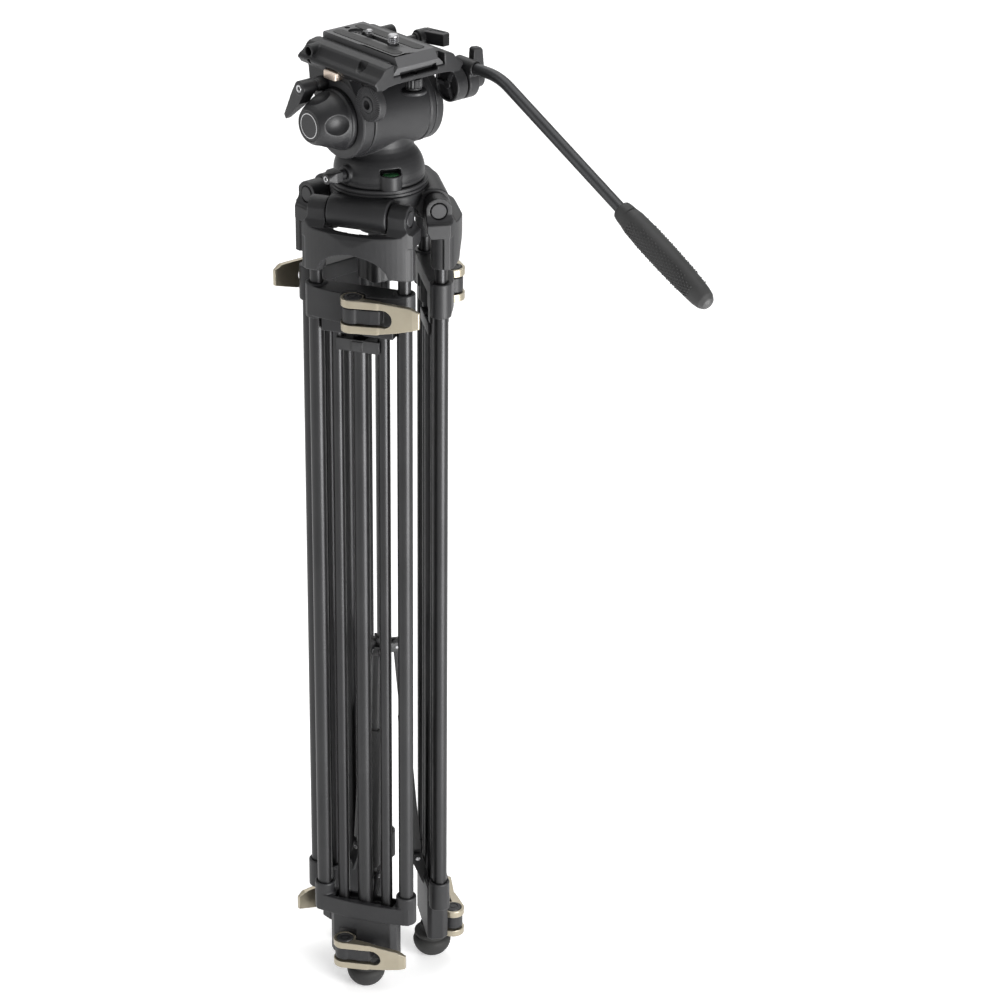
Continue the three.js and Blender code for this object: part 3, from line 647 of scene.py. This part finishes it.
def legs():
    place_on_legs(yoke_casting(), "yoke_casting", "upper_section", "black_paint", "leg_yoke")
    leg_tubes()
    place_on_legs(upper_clamp_block(), "clamp_block", "middle_section", "black_paint",
                  "upper_clamp")
    place_on_legs(bottom_block(), "casting_bottom", "middle_section", "black_paint",
                  "bottom_casting")
    place_on_legs(guide_bridge(), "bridge_guide", "lower_section", "black_plastic")
    place_on_legs(foot_rubber(), "rubber_foot", "lower_section", "rubber_foot", "foot")
    for level, hinge in (("upper", UPPER_PIVOT), ("lower", LOWER_PIVOT)):
        foot_z = span(f"{level}_lever_a")[0].z + LEVER_RISE[level]
        at = Matrix.Translation((hinge.x, hinge.y, foot_z))
        at = at @ Matrix.Diagonal((1, 1, LEVER_HEIGHT[level], 1))
        place_on_legs(moved(clamp_lever(), at), f"fork_lever_{level}", f"{level}_clamp_lever",
                      "champagne_lever", f"{level}_lever")
        place_on_legs(moved(lever_caps(), at), f"lever_pin_{level}", f"{level}_clamp_lever",
                      "black_plastic")


# ---- spreader -------------------------------------------------------------------------------
ARM_LEAN = math.degrees(math.atan2(FOLD.y - HUB.y, HUB.z - FOLD.z))
ARM_LENGTH = math.hypot(FOLD.y - HUB.y, HUB.z - FOLD.z)


def on_arm(item):
    """Turns a piece modelled up the Z axis onto the folded spreader arm."""
    return moved(item, Matrix.Translation(FOLD) @ Matrix.Rotation(math.radians(ARM_LEAN), 4, "X"))


def spreader():
    sleeve = block((-4.2, -4.2, 0), (4.2, 4.2, 20))
    sleeve = join(sleeve, block((-7.4, -4.2, 10), (7.4, 4.2, 150)))
    sleeve = join(sleeve, rod("X", 4.2, (0, 0), -4.2, 4.2))
    sleeve = cut(sleeve, block((-2.9, -2.9, 8), (2.9, 2.9, 160)))
    sleeve = cut(sleeve, block((-1.4, -6, 20), (1.4, 0, 138)))
    place_on_legs(on_arm(crisp(sleeve, 0.5)), "arm_channel", "spreader_arm", "spreader_black",
                  "spreader_outer")
    bar = block((-2.6, -2.6, 40), (2.6, 2.6, ARM_LENGTH))
    bar = join(bar, rod("X", 4, (0, ARM_LENGTH), -2.6, 2.6))
    place_on_legs(on_arm(crisp(bar, 0.4)), "arm_bar", "spreader_bar", "spreader_black",
                  "spreader_inner")
    pin = smooth(rod("X", 2.2, (0, 0), -8.8, 8.8, 0.5))
    place_on_legs(on_arm(pin), "arm_pin", "spreader_arm", "steel")
    tip = smooth(rod("X", 1.8, (0, ARM_LENGTH), -6.6, 6.6, 0.5))
    place_on_legs(on_arm(tip), "hub_pin", "spreader_bar", "steel")
    hub = rod("Z", 5.5, (0, 0), HUB.z - 6, HUB.z + 6, 0.8)
    for index in range(3):
        for s in (1, -1):
            ear = block((s * 5.5 - 1, 3, HUB.z - 4.5), (s * 5.5 + 1, HUB.y + 3.9, HUB.z + 4.5))
            hub = join(hub, spun(ear, -120 * index))
    hub = cut(hub, rod("Z", 2.4, (0, 0), HUB.z - 20, HUB.z + 20))
    place(crisp(hub, 0.6), "hub_spreader", "spreader_hub", "spreader_black", "spreader_hub")


# ---- crown ----------------------------------------------------------------------------------
def spider_casting():
    outside = [(0, 757), (22, 757), (30, 761.5), (36, 770), (40, 780), (42.3, 786), (42.8, 790),
               (42.4, SPIDER_TOP_Z), (0, SPIDER_TOP_Z)]
    body = lathe(outside, sides=96)
    for index in range(3):
        web = block((-23, 20, 767), (23, PIN.y, 790.3))
        barrel = rod("X", 14.2, (PIN.y, PIN.z), -27.3, 27.3, 0.8)
        shoulder = rod("X", 15.2, (PIN.y - 1.5, PIN.z - 1), -27.3, -21, 0.8)
        other = rod("X", 15.2, (PIN.y - 1.5, PIN.z - 1), 21, 27.3, 0.8)
        for item in (web, barrel, shoulder, other):
            body = join(body, spun(item, -120 * index))
    body = cut(body, ball(37, (0, 0, 796)))
    body = cut(body, rod("Z", 16, (0, 0), 740, 790))
    return soften(body, 0.6, 5)


def crown():
    place(spider_casting(), "spider_casting", "crown", "black_paint", "spider")
    for index, letter in enumerate(LEGS):
        end = EAR_X + 0.6
        cap = [(0, -end), (6.3, -end), (6.8, 0.5 - end), (6.8, end - 0.5), (6.3, end), (0, end)]
        pin = smooth(lathe(cap, "X", (0, PIN.y, PIN.z), 56))
        place(spun(pin, -120 * index), f"hinge_pin_{letter}", "crown", "black_paint")
    top, ring = BASE_HIGH.z, 42.5
    profile = [(0, 763)] + arc(0, 796, 36, -PI / 2 + 0.42, -0.1, 14)
    profile += [(36.2, RING_SEAT_Z), (ring - 0.6, RING_SEAT_Z), (ring, RING_SEAT_Z + 0.6),
                (ring, 795.2), (ring - 0.9, 795.7), (ring - 0.9, 796.4), (ring - 0.2, 796.9),
                (ring - 0.2, top - 0.7), (ring - 0.9, top), (0, top)]
    profile[0] = (0, profile[1][1])
    base = join(lathe(profile, sides=112), rod("Z", 5, (0, 0), 716, 770, 0.8))
    place(smooth(base), "bowl_base", "levelling_base", "black_paint", "levelling_base")
    outline = []
    for i in range(150):
        angle = 2 * PI * i / 150
        radius = 19 - 3.5 * (0.5 - 0.5 * math.cos(5 * angle))
        outline.append((radius * math.cos(angle), radius * math.sin(angle)))
    knob = join(prism(outline, 706, 738), rod("Z", 10, (0, 0), 730, 752))
    knob = join(knob, rod("Z", 19, (0, 0), 751, 756.5, 0.8))
    knob = cut(knob, rod("Z", 5.3, (0, 0), 715.7, 760))
    place(soften(knob, 0.6, 5), "knob_tie_down", "tie_down_knob", "black_plastic", "tie_down_knob")


# ---- fluid head -----------------------------------------------------------------------------
def pan_casting():
    dome = [(0, 799.4), (39, 799.4), (39.5, 800), (39.5, 802.6), (38.9, 803), (38.9, 803.8),
            (39.4, 804.4), (39.5, 807), (39.3, 810), (38.6, 813), (37.6, 816), (36.2, 819),
            (34.3, 822), (32, 824.7), (29.8, 828), (28.6, 832), (28.4, 850), (0, 850)]
    body = lathe(dome, sides=128)
    drum = [(0, -32), (DRUM_R - 0.8, -32), (DRUM_R, -31.2), (DRUM_R, 28.2), (DRUM_R - 0.9, 28.8),
            (DRUM_R - 0.9, 29.8), (DRUM_R, 30.4), (DRUM_R, 34.7), (DRUM_R - 0.8, 35.5), (0, 35.5)]
    body = join(body, lathe(drum, "X", (0, 0, TILT.z), 144))
    body = join(body, rod("Z", 9.6, VIAL, 799.4, 813, 0.5))
    body = join(body, rod("X", 7.5, (-3, 810), -41, -20, 0.7))
    body = cut(body, rod("Z", 9.2, VIAL, 812.2, 816.4))
    body = cut(body, rod("Z", 7.9, VIAL, 807.7, 813))
    body = cut(body, rod("X", 3.3, (-3, 810), -50, -30))
    body = cut(body, rod("X", 6.3, (0, TILT.z), -60, 60))
    return soften(body, 0.65, 3, 0.4)


def pan_parts():
    place(pan_casting(), "pan_casting", "pan_head", "black_paint", "pan_housing")
    vial = lathe([(0, 808), (7.2, 808), (7.2, 812.0), (5.8, 812.8), (0, 813.3)], "Z",
                 (*VIAL, 0), 48)
    place(smooth(vial, 50), "vial_spirit", "pan_head", "bubble_glass", "bubble_vial")
    bezel = lathe([(7.25, 809), (7.8, 809), (7.8, 812.2), (7.6, 812.5), (7.4, 812.5),
                   (7.25, 812.2)],
                  "Z", (*VIAL, 0), 48)
    place(smooth(bezel), "vial_bezel", "pan_head", "black_plastic")
    wing = [(-60.2, y, z) for y, z in arc(-3, 810, 4.6, 0, 2 * PI, 32)]
    wing += [(x, y, z) for x in (-54, -47.5) for y, z in ((-10, 806.6), (4, 806.6), (4, 815.6),
                                                          (-10, 815.6))]
    knob = join(hull(wing), rod("X", 4.9, (-3, 810), -61, -41.3, 0.6))
    place(soften(knob, 0.4, 4), "knob_pan_lock", "pan_lock_knob", "black_plastic", "pan_lock_knob")
    place(end_screw(-61.2, -3, 810, 2.6), "pan_lock_screw", "pan_lock_knob", "steel")


def end_screw(x, y, z, radius):
    """Ring-shaped screw end that faces -X."""
    profile = [(0, 1.6), (radius * 0.5, 1.6), (radius * 0.5, 0.4), (radius * 0.7, 0),
               (radius * 0.95, 0), (radius, 0.4), (radius, 4), (0, 4)]
    return smooth(lathe(profile, "X", (x, y, z), 40))


def ribs(radius_in, radius_out, x0, x1, count, width):
    """Radial rosette teeth about the handle rosette's axis."""
    teeth = []
    centre = (0, ROSETTE.y, ROSETTE.z)
    for i in range(count):
        tooth = prism([(radius_in, -width / 2), (radius_out, -width / 2), (radius_out, width / 2),
                       (radius_in, width / 2)], x0, x1, "X")
        teeth.append(spun(moved(tooth, Matrix.Translation(centre)), 360 / count * i, "X", centre))
    first = teeth[0]
    bm = bmesh.new()
    for tooth in teeth:
        bm.from_mesh(tooth.data)
    for tooth in teeth[1:]:
        drop(tooth)
    bm.to_mesh(first.data)
    bm.free()
    return first


def platform_casting():
    back, front, half = -55, 50, 48
    half_section = [(24, 900), (34, 899), (37.5, 897.6), (41, 897), (44.5, 898.5), (half, 903),
                    (half, 904.8), (46.2, 906.4), (42.5, 908.6), (40, 911), (38, 914),
                    (35.5, 915.6), (31, 916.6), (28, 917), (23.4, 916.5), (23.4, 914),
                    (28, 908.8), (28, 906.6)]
    section = half_section + [(-x, z) for x, z in reversed(half_section)]
    body = prism(section, back, front, "Y")
    cheek = arc(0, TILT.z, 35, PI * 0.85, PI * 2.1, 48) + [(40, 884), (42, 901), (-10, 901)]
    for low, high in ((-43.5, -32.5), (36, 43.5)):
        body = join(body, prism(cheek, low, high, "X"))
    for s in (1, -1):
        body = join(body, rod("X", 6, (37.5, 910.4), *sorted((s * 34, s * 46.5)), 0.5))
        body = cut(body, rod("X", 3.9, (37.5, 910.4), *sorted((s * 40, s * 60))))
        body = cut(body, rod("X", 2.0, (35, 902.5), *sorted((s * 43, s * 60))))
        inner_x = 37 if s > 0 else 41
        rosette_ends = sorted((s * inner_x, s * 48.6))
        body = join(body, rod("X", 15.5, (ROSETTE.y, ROSETTE.z), *rosette_ends, 0.6))
        body = join(body, block((min(s * 41, s * 46), -55, 885), (max(s * 41, s * 46), -37, 901)))
        body = cut(body, rod("X", 5.2, (-27, 912.5), *sorted((s * 36, s * 60))))
    body = cut(body, rod("X", 4.3, (ROSETTE.y, ROSETTE.z), -70, 70))
    body = cut(body, rod("X", 13.2, (ROSETTE.y, ROSETTE.z), 30, 39.5))
    low, high = BUTTON_LOW + BUTTON_LIFT, BUTTON_HIGH + BUTTON_LIFT
    body = cut(body, block((low.x - 0.3, low.y - 0.4, low.z - 0.4),
                           (high.x + 4.5, high.y + 0.4, high.z + 0.4)))
    body = cut(body, block((-50, low.y + 1, 902), (-41, high.y - 1, 903.4)))
    for s in (1, -1):
        x0, x1 = sorted((s * 21, s * 27.5))
        body = cut(body, block((x0, back - 1, 907.5), (x1, back + 9, 930)))
    body = cut(body, block((-20, back - 1, 904), (20, back + 8, 910)))
    body = cut(body, rod("X", 3.3, (10.7, 910), 30, 60))
    body = cut(body, rod("Z", 3.3, (-1.5, -49), 890, 904))
    lock = pivot("tilt_lock_turn")
    body = cut(body, rod("X", 3.8, (lock.y, lock.z), -60, -34))
    body = cut(body, rod("X", 6.3, (0, TILT.z), -60, 60))
    return soften(body, 0.6, 2, 0.4)


def platform_parts():
    place(platform_casting(), "platform_casting", "tilt_head", "black_paint", "tilt_platform")
    shaft = smooth(rod("X", 6, (0, TILT.z), -43.4, 43.4, 0.8))
    place(shaft, "shaft_tilt", "tilt_head", "steel", "tilt_shaft")
    teeth = ribs(7.5, 15.2, -49.3, -47.5, 48, 0.9)
    place(smooth(teeth), "rosette_teeth_left", "tilt_head", "black_paint")
    hub = lathe([(4.2, -50.3), (6.2, -50.3), (6.8, -49.7), (6.8, -46), (4.2, -46)], "X",
                (0, ROSETTE.y, ROSETTE.z), 48)
    place(smooth(hub), "rosette_bush_left", "tilt_head", "black_paint")
    spokes = ribs(4, 13.4, 37.4, 39.6, 3, 3.2)
    place(smooth(spokes), "rosette_spokes_right", "tilt_head", "black_paint")
    low, high = BUTTON_LOW + BUTTON_LIFT, BUTTON_HIGH + BUTTON_LIFT
    button = block((low.x, low.y, low.z), (high.x, high.y, high.z))
    place(crisp(button, 0.9, 4), "button_release", "plate_release_button", "copper_button",
          "plate_release_button")
    flange = lathe([(27.5, -44.4), (34, -44.4), (34.8, -43.8), (34.8, -43.5), (27.5, -43.5)], "X",
                   (0, 0, TILT.z), 112)
    place(smooth(flange), "flange_ring", "tilt_head", "black_paint")


def dial():
    at = pivot("balance_turn")
    outline = []
    for i in range(120):
        angle = 2 * PI * i / 120
        radius = 7.4 - 0.4 * (1 + math.cos(14 * angle))
        outline.append((at.x + radius * math.cos(angle), at.y + radius * math.sin(angle)))
    knurl = prism(outline, 892, 899.4)
    place(crisp(knurl, 0.25), "dial_knurl", "balance_dial", "black_plastic", "balance_dial")
    band = lathe([(0, 890.2), (6.9, 890.2), (7.1, 890.5), (7.1, 891.7), (0, 892.0)], "Z",
                 (at.x, at.y, 0), 56)
    place(smooth(band), "dial_band", "balance_dial", "black_paint")
    foot = lathe([(0, 886.5), (10.6, 886.5), (11.2, 887), (11.2, 888.6), (10.6, 889.2),
                  (0, 889.2)], "Z", (at.x, at.y, 0), 64)
    place(smooth(foot), "dial_flange", "balance_dial", "black_paint")


def plate():
    low, high = PLATE_LOW, PLATE_HIGH
    top = PLATE_TOP
    section = [(27, 907), (27, 908.5), (21.6, 914), (21.6, top), (-21.6, top), (-21.6, 914),
               (-27, 908.5), (-27, 907)]
    body = prism(section, low.y, high.y, "Y")
    rear = [(low.y - 1, 911), (low.y - 1, top + 1), (low.y + 5.5, top + 1)]
    front = [(high.y + 1, 918), (high.y + 1, top + 1), (high.y - 2, top + 1)]
    for chamfer in (rear, front):
        body = cut(body, prism(chamfer, -30, 30, "X"))
    slot = [(3.6, 24), (-3.6, 24), (-3.6, -20), (3.6, -20)]
    body = cut(body, prism(slot, 900, 930))
    body = cut(body, rod("Z", 5.2, (0, -20), 900, 930))
    body = cut(body, rod("Z", 6.6, (0, 30.5), top - 2.2, 930))
    body = cut(body, rod("Z", 2.2, (0, 30.5), 900, 930))
    body = cut(body, rod("Z", 2.6, (0, 42), top - 2.5, 930))
    for s in (1, -1):
        body = cut(body, prism(stadium(s * 12.0, 5.6, -43.5, 43), top - 0.8, 930))
    body = cut(body, block((-20, low.y - 1, 900), (20, low.y + 4, 909.6)))
    place(crisp(body, 0.45, 2), "dovetail_plate", "camera_plate", "black_paint", "camera_plate",
          "plate_paint")
    for s, side in ((1, "right"), (-1, "left")):
        pad = prism(stadium(s * 12.0, 5.1, -43, 42.5), top - 0.8, top + 0.35)
        place(crisp(pad, 0.15), f"grip_strip_{side}", "camera_plate", "rubber_grip")


def thread(radius, pitch, start, middle_z, end):
    """Profile of a plain shank with a thread, drawn as close rings, above the middle height."""
    profile = [(0, start), (0.8 * radius, start), (0.8 * radius, middle_z - 0.2)]
    z = middle_z
    while z + pitch < end - 1:
        profile += [(radius, z), (radius - 0.6 * pitch, z + pitch / 2), (radius, z + pitch)]
        z += pitch
    profile += [(radius, end - 1), (radius - 1, end), (0, end)]
    return list(dict.fromkeys(profile))


def screws():
    for name, radius, pitch in (("small", 3.17, 1.27), ("large", 4.76, 1.59)):
        low, high = span(f"{name}_camera_screw")
        at = middle(f"{name}_camera_screw")
        shank = thread(radius, pitch, low.z, PLATE_TOP + 2.5, high.z - 1.8)
        place(smooth(lathe(shank, "Z", (at.x, at.y, 0), 40), 20), f"screw_{name}",
              f"{name}_camera_screw", "steel", f"{name}_camera_screw")


def plate_lock():
    at = pivot("plate_lock_turn")
    hub = rod("X", 6.5, (at.y, at.z), 51, 63, 0.8)
    blade = prism([(56, 14), (66, 14), (71, -8), (69, -12), (62, -12), (56, 6)], 904.5, 915.5)
    lever = join(hub, blade)
    lever = cut(lever, prism([(60.5, 6), (65.5, 6), (68.5, -7), (63.5, -7)], 914.7, 920))
    place(soften(lever, 0.4, 4), "lever_plate_lock", "plate_lock_lever", "black_plastic",
          "plate_lock_lever")
    shaft = join(rod("X", 3, (at.y, at.z), 31, 52, 0.3), rod("X", 4.4, (at.y, at.z), 48.6, 52, 0.3))
    smooth(shaft)
    place(shaft, "plate_lock_shaft", "plate_lock_lever", "black_plastic")


def drag_parts():
    low, high = span("drag_knob")
    start, end = high.x, low.x
    depth = start - end
    profile = [(0, 0), (26, 0), (26.7, 0.8), (26.7, 4.4), (26.2, 5.2), (25.4, 5.6), (25.4, 6.6),
               (25.2, 8), (24.6, 12), (23.4, 16), (21.6, 20), (19.4, 24.5), (17.4, 28),
               (15.4, depth - 1.2), (14.4, depth), (0, depth)]
    knob = lathe(profile, sides=112)
    for i in range(4):
        hollow = moved(ball(10, (0, 0, 0), 40), Matrix.Diagonal((1.2, 0.95, 1.5, 1)))
        hollow = moved(hollow, Matrix.Translation((0, 26.4, 23)))
        knob = cut(knob, spun(hollow, HOLLOW_TURN + 90 * i))
    knob = cut(knob, rod("Z", 13.2, (0, 0), depth - 0.8, depth + 5))
    matrix = Matrix.Translation((start, 0, TILT.z)) @ Matrix.Rotation(-PI / 2, 4, "Y")
    place(moved(soften(knob, 0.5, 4), matrix), "knob_drag", "drag_knob", "black_plastic",
          "drag_knob")
    disc = lathe([(0, depth - 0.9), (12.9, depth - 0.9), (12.9, depth - 0.4), (12.5, depth - 0.1),
                  (0, depth - 0.1)], sides=72)
    place(smooth(moved(disc, matrix)), "drag_knob_cap", "drag_knob", "black_paint")
    ring = lathe([(10.3, depth - 0.2), (10.9, depth - 0.2), (10.9, depth + 0.06),
                  (10.3, depth + 0.06)],
                 sides=96)
    place(smooth(moved(ring, matrix)), "drag_knob_ring", "drag_knob", "steel")


def tilt_lock():
    at = pivot("tilt_lock_turn")
    start = span("tilt_lock_lever")[1].x - 9
    hub = lathe([(0, -28), (5.8, -28), (6.6, -27.2), (6.6, -14), (5.2, -13), (5.2, -11), (6.2, -10),
                 (6.6, -4), (6.2, 0), (0, 0)], "X", (0, 0, 0), 56)
    points = circle("X", 6.6, (0, 0), -27.6) + circle("X", 6.6, (0, 0), -14.5)
    points += [(-27.2, -6.4, -13), (-16, -6.4, -13), (-27.2, 6.8, -10), (-16, 6.8, -10)]
    points += [(-25.8, 1.2, -39.5), (-20.5, 1.2, -39.5), (-25.8, 5.2, -37.6), (-20.5, 5.2, -37.6)]
    lever = join(hub, hull(points), rod("X", 3.5, (0, 0), -1, 9))
    turn = Matrix.Rotation(math.radians(32), 4, "X")
    place_matrix = Matrix.Translation((start, at.y, at.z)) @ turn
    place(moved(soften(lever, 0.4, 4), place_matrix), "lever_tilt_lock", "tilt_lock_lever",
          "black_plastic", "tilt_lock_lever")
    place(end_screw(start - 28.4, at.y, at.z, 3.3), "tilt_lock_screw", "tilt_lock_lever", "steel")


# ---- pan handle -----------------------------------------------------------------------------
CRANK_LOW, CRANK_HIGH = span("handle_rod")
ROD_X = (CRANK_LOW.x + CRANK_HIGH.x) / 2
ROD_Z = CRANK_HIGH.z - 5
ROD_DROP = math.radians(25.9)
BEND_Y = -92
GRIP_START = 170
GRIP_LENGTH = 119


def handle_point(distance):
    return Vector((ROD_X, BEND_Y - distance * math.cos(ROD_DROP),
                   ROD_Z - distance * math.sin(ROD_DROP)))


def handle_rod():
    corner = Vector((ROD_X, BEND_Y, ROD_Z))
    first, last = Vector((ROD_X, BEND_Y + 14, ROD_Z)), handle_point(14)
    points = [Vector((ROD_X, ROSETTE.y, ROD_Z))]
    for i in range(17):
        t = i / 16
        points.append((1 - t) ** 2 * first + 2 * t * (1 - t) * corner + t * t * last)
    points.append(handle_point(GRIP_START + 28))
    bm = bmesh.new()
    rings = []
    for i, point in enumerate(points):
        ahead = points[min(i + 1, len(points) - 1)]
        behind = points[max(i - 1, 0)]
        along = (ahead - behind).normalized()
        side = Vector((1, 0, 0))
        up = side.cross(along)
        rings.append([bm.verts.new(point + 5 * (math.cos(a) * side + math.sin(a) * up))
                      for a in (2 * PI * k / 40 for k in range(40))])
    bm.faces.new(rings[0])
    bm.faces.new(rings[-1])
    for first_ring, second_ring in zip(rings, rings[1:]):
        for k in range(40):
            m = (k + 1) % 40
            bm.faces.new((first_ring[k], first_ring[m], second_ring[m], second_ring[k]))
    return smooth(made(bm))


def grip_matrix():
    return (Matrix.Translation(handle_point(GRIP_START))
            @ Matrix.Rotation(PI / 2 + ROD_DROP, 4, "X"))


def grip_shape():
    """Grip modelled along +Z from its mouth; its flat sides face +X and -X."""
    stations = [(0, 7.2), (1.2, 8.6), (5, 9.4), (9, 9.8), (12, 10.6), (18, 11.6), (34, 12.2),
                (60, 12.3), (84, 11.6), (98, 10.9), (107, 10.2), (113, 8.6), (117, 6),
                (118.6, 3), (GRIP_LENGTH, 0.05)]
    bm = bmesh.new()
    rings = []
    for height, radius in stations:
        ring = []
        for k in range(64):
            a = 2 * PI * k / 64
            flat = 0.86 if 9 < height < 112 else 0.93
            ring.append(bm.verts.new((radius * flat * math.cos(a), radius * math.sin(a), height)))
        rings.append(ring)
    bm.faces.new(rings[0])
    bm.faces.new(rings[-1])
    for first_ring, second_ring in zip(rings, rings[1:]):
        for k in range(64):
            m = (k + 1) % 64
            bm.faces.new((first_ring[k], first_ring[m], second_ring[m], second_ring[k]))
    body = made(bm)
    body = cut(body, lathe([(9.0, 10), (14, 10), (14, 11.4), (9.4, 11.4)], sides=64))
    body = cut(body, rod("Z", 5.3, (0, 0), -1, 30.3))
    return soften(body, 0.5, 6, 0.5)


def grip_dots():
    """Raised dots of the textured panels on both sides of the grip."""
    bm = bmesh.new()
    rows = 30
    for i in range(rows):
        z = 20 + 80 * i / (rows - 1)
        radius = 12.2 - 0.9 * max(0, (z - 60) / 40) - 0.3 * max(0, (34 - z) / 14)
        half_count = 3 if 4 < i < rows - 4 else 2
        for j in range(-half_count, half_count + 1):
            angle = math.radians(13.5 * (j + (0.5 if i % 2 else 0)))
            for s in (1, -1):
                centre = Vector((s * radius * 0.86 * math.cos(angle), radius * math.sin(angle), z))
                made_dot = bmesh.ops.create_icosphere(bm, subdivisions=1, radius=0.85)
                bmesh.ops.translate(bm, verts=made_dot["verts"], vec=centre)
    return smooth(made(bm), 60)


def handle():
    centre = (ROSETTE.y, ROSETTE.z)
    body = rod("X", 15.5, centre, 50.4, 61.8, 0.9, 96)
    body = join(body, rod("Y", 6.6, (ROD_X, ROD_Z), -62, -37, 0.8))
    body = join(body, block((51, -60, 886), (61.6, -39, 899)))
    body = cut(body, rod("Y", 5.3, (ROD_X, ROD_Z), -70, -45.5))
    body = join(body, rod("X", 4, centre, 37, 52))
    place(soften(body, 0.45, 4), "clamp_handle", "pan_handle", "black_paint", "handle_clamp")
    hub = rod("X", 9, centre, 62.3, 74, 1.6)
    wing = prism([(63.2, 884), (77.5, 884), (74.8, 909), (73.2, 911.2), (67, 912), (65, 910.6)],
                 ROSETTE.y - 3.4, ROSETTE.y + 3.4, "Y")
    knob = join(hub, wing)
    place(soften(knob, 0.4, 4), "knob_handle_lock", "handle_lock_knob", "black_plastic",
          "handle_lock_knob")
    place(handle_rod(), "rod_handle", "pan_handle", "anodised_tube", "handle_rod", "anodised_rod")
    place(moved(grip_shape(), grip_matrix()), "grip_body", "pan_handle", "rubber_grip",
          "handle_grip")
    place(moved(grip_dots(), grip_matrix()), "grip_dots", "pan_handle", "rubber_grip")


# ---- floor, light and camera ----------------------------------------------------------------
def studio():
    bpy.ops.mesh.primitive_plane_add(size=24, location=(0, 0, 0))
    floor = bpy.context.object
    floor.name = "studio_floor"
    nodes = Nodes("pale_floor")
    nodes.link(nodes.ramp(nodes.noise(1.5), 0.4, 0.6, (0.93, 0.93, 0.93), (0.95, 0.95, 0.95)),
               nodes.shader.inputs["Base Color"])
    nodes.shader.inputs["Roughness"].default_value = 0.9
    nodes.shader.inputs["Specular IOR Level"].default_value = 0.1
    nodes.shader.inputs["Emission Color"].default_value = (1, 1, 1, 1)
    nodes.shader.inputs["Emission Strength"].default_value = 0.30
    floor.data.materials.append(nodes.material)
    world = bpy.data.worlds.new("studio")
    bpy.context.scene.world = world
    world.use_nodes = True
    world.node_tree.nodes["Background"].inputs["Color"].default_value = (1, 1, 1, 1)
    world.node_tree.nodes["Background"].inputs["Strength"].default_value = 0.42
    right = Vector((0.752, -0.659, 0))
    away = Vector((0.659, 0.752, 0))
    lamps = (("side", 0.92 * right - 0.95 * away + Vector((0, 0, 0.40)), 34, 0.7, 1.0),
             ("front", -2.3 * right - 0.6 * away + Vector((0, 0, 1.3)), 12, 0.7, 2.0),
             ("top", 1.0 * away + Vector((0, 0, 4.5)), 100, 3.6, 3.6),
             ("back", 7.0 * away + Vector((0, 0, 4.2)), 150, 7.0, 5.0))
    for name, offset, power, width, height in lamps:
        light = bpy.data.lights.new(f"{name}_softbox", "AREA")
        light.shape = "RECTANGLE"
        light.size = width
        light.size_y = height
        light.energy = power
        lamp = bpy.data.objects.new(f"{name}_softbox", light)
        bpy.context.scene.collection.objects.link(lamp)
        lamp.visible_camera = False
        lamp.location = AXIS + offset
        aim = AXIS + Vector((0, 0, 0.5)) - lamp.location
        if name == "back":
            aim = Vector((0, 0, -1))
        lamp.rotation_euler = aim.to_track_quat("-Z", "Y").to_euler()


def camera():
    place_at = AXIS + Vector((-1.72065, -2.12654, 1.78174))
    look_at = AXIS + Vector((0.08081, -0.07081, 0.48969))
    lens = bpy.data.cameras.new("view")
    lens.sensor_width = 36
    lens.lens = 120.43
    lens.clip_start = 0.05
    lens.clip_end = 60
    view = bpy.data.objects.new("view", lens)
    bpy.context.scene.collection.objects.link(view)
    roll = Matrix.Rotation(math.radians(0.61), 4, "Z")
    turn = (look_at - place_at).to_track_quat("-Z", "Y").to_matrix().to_4x4()
    view.matrix_world = Matrix.Translation(place_at) @ turn @ roll
    bpy.context.scene.camera = view
    bpy.context.scene.view_settings.view_transform = "Standard"


camera()
legs()
spreader()
crown()
pan_parts()
platform_parts()
dial()
plate()
screws()
plate_lock()
drag_parts()
tilt_lock()
handle()
studio()
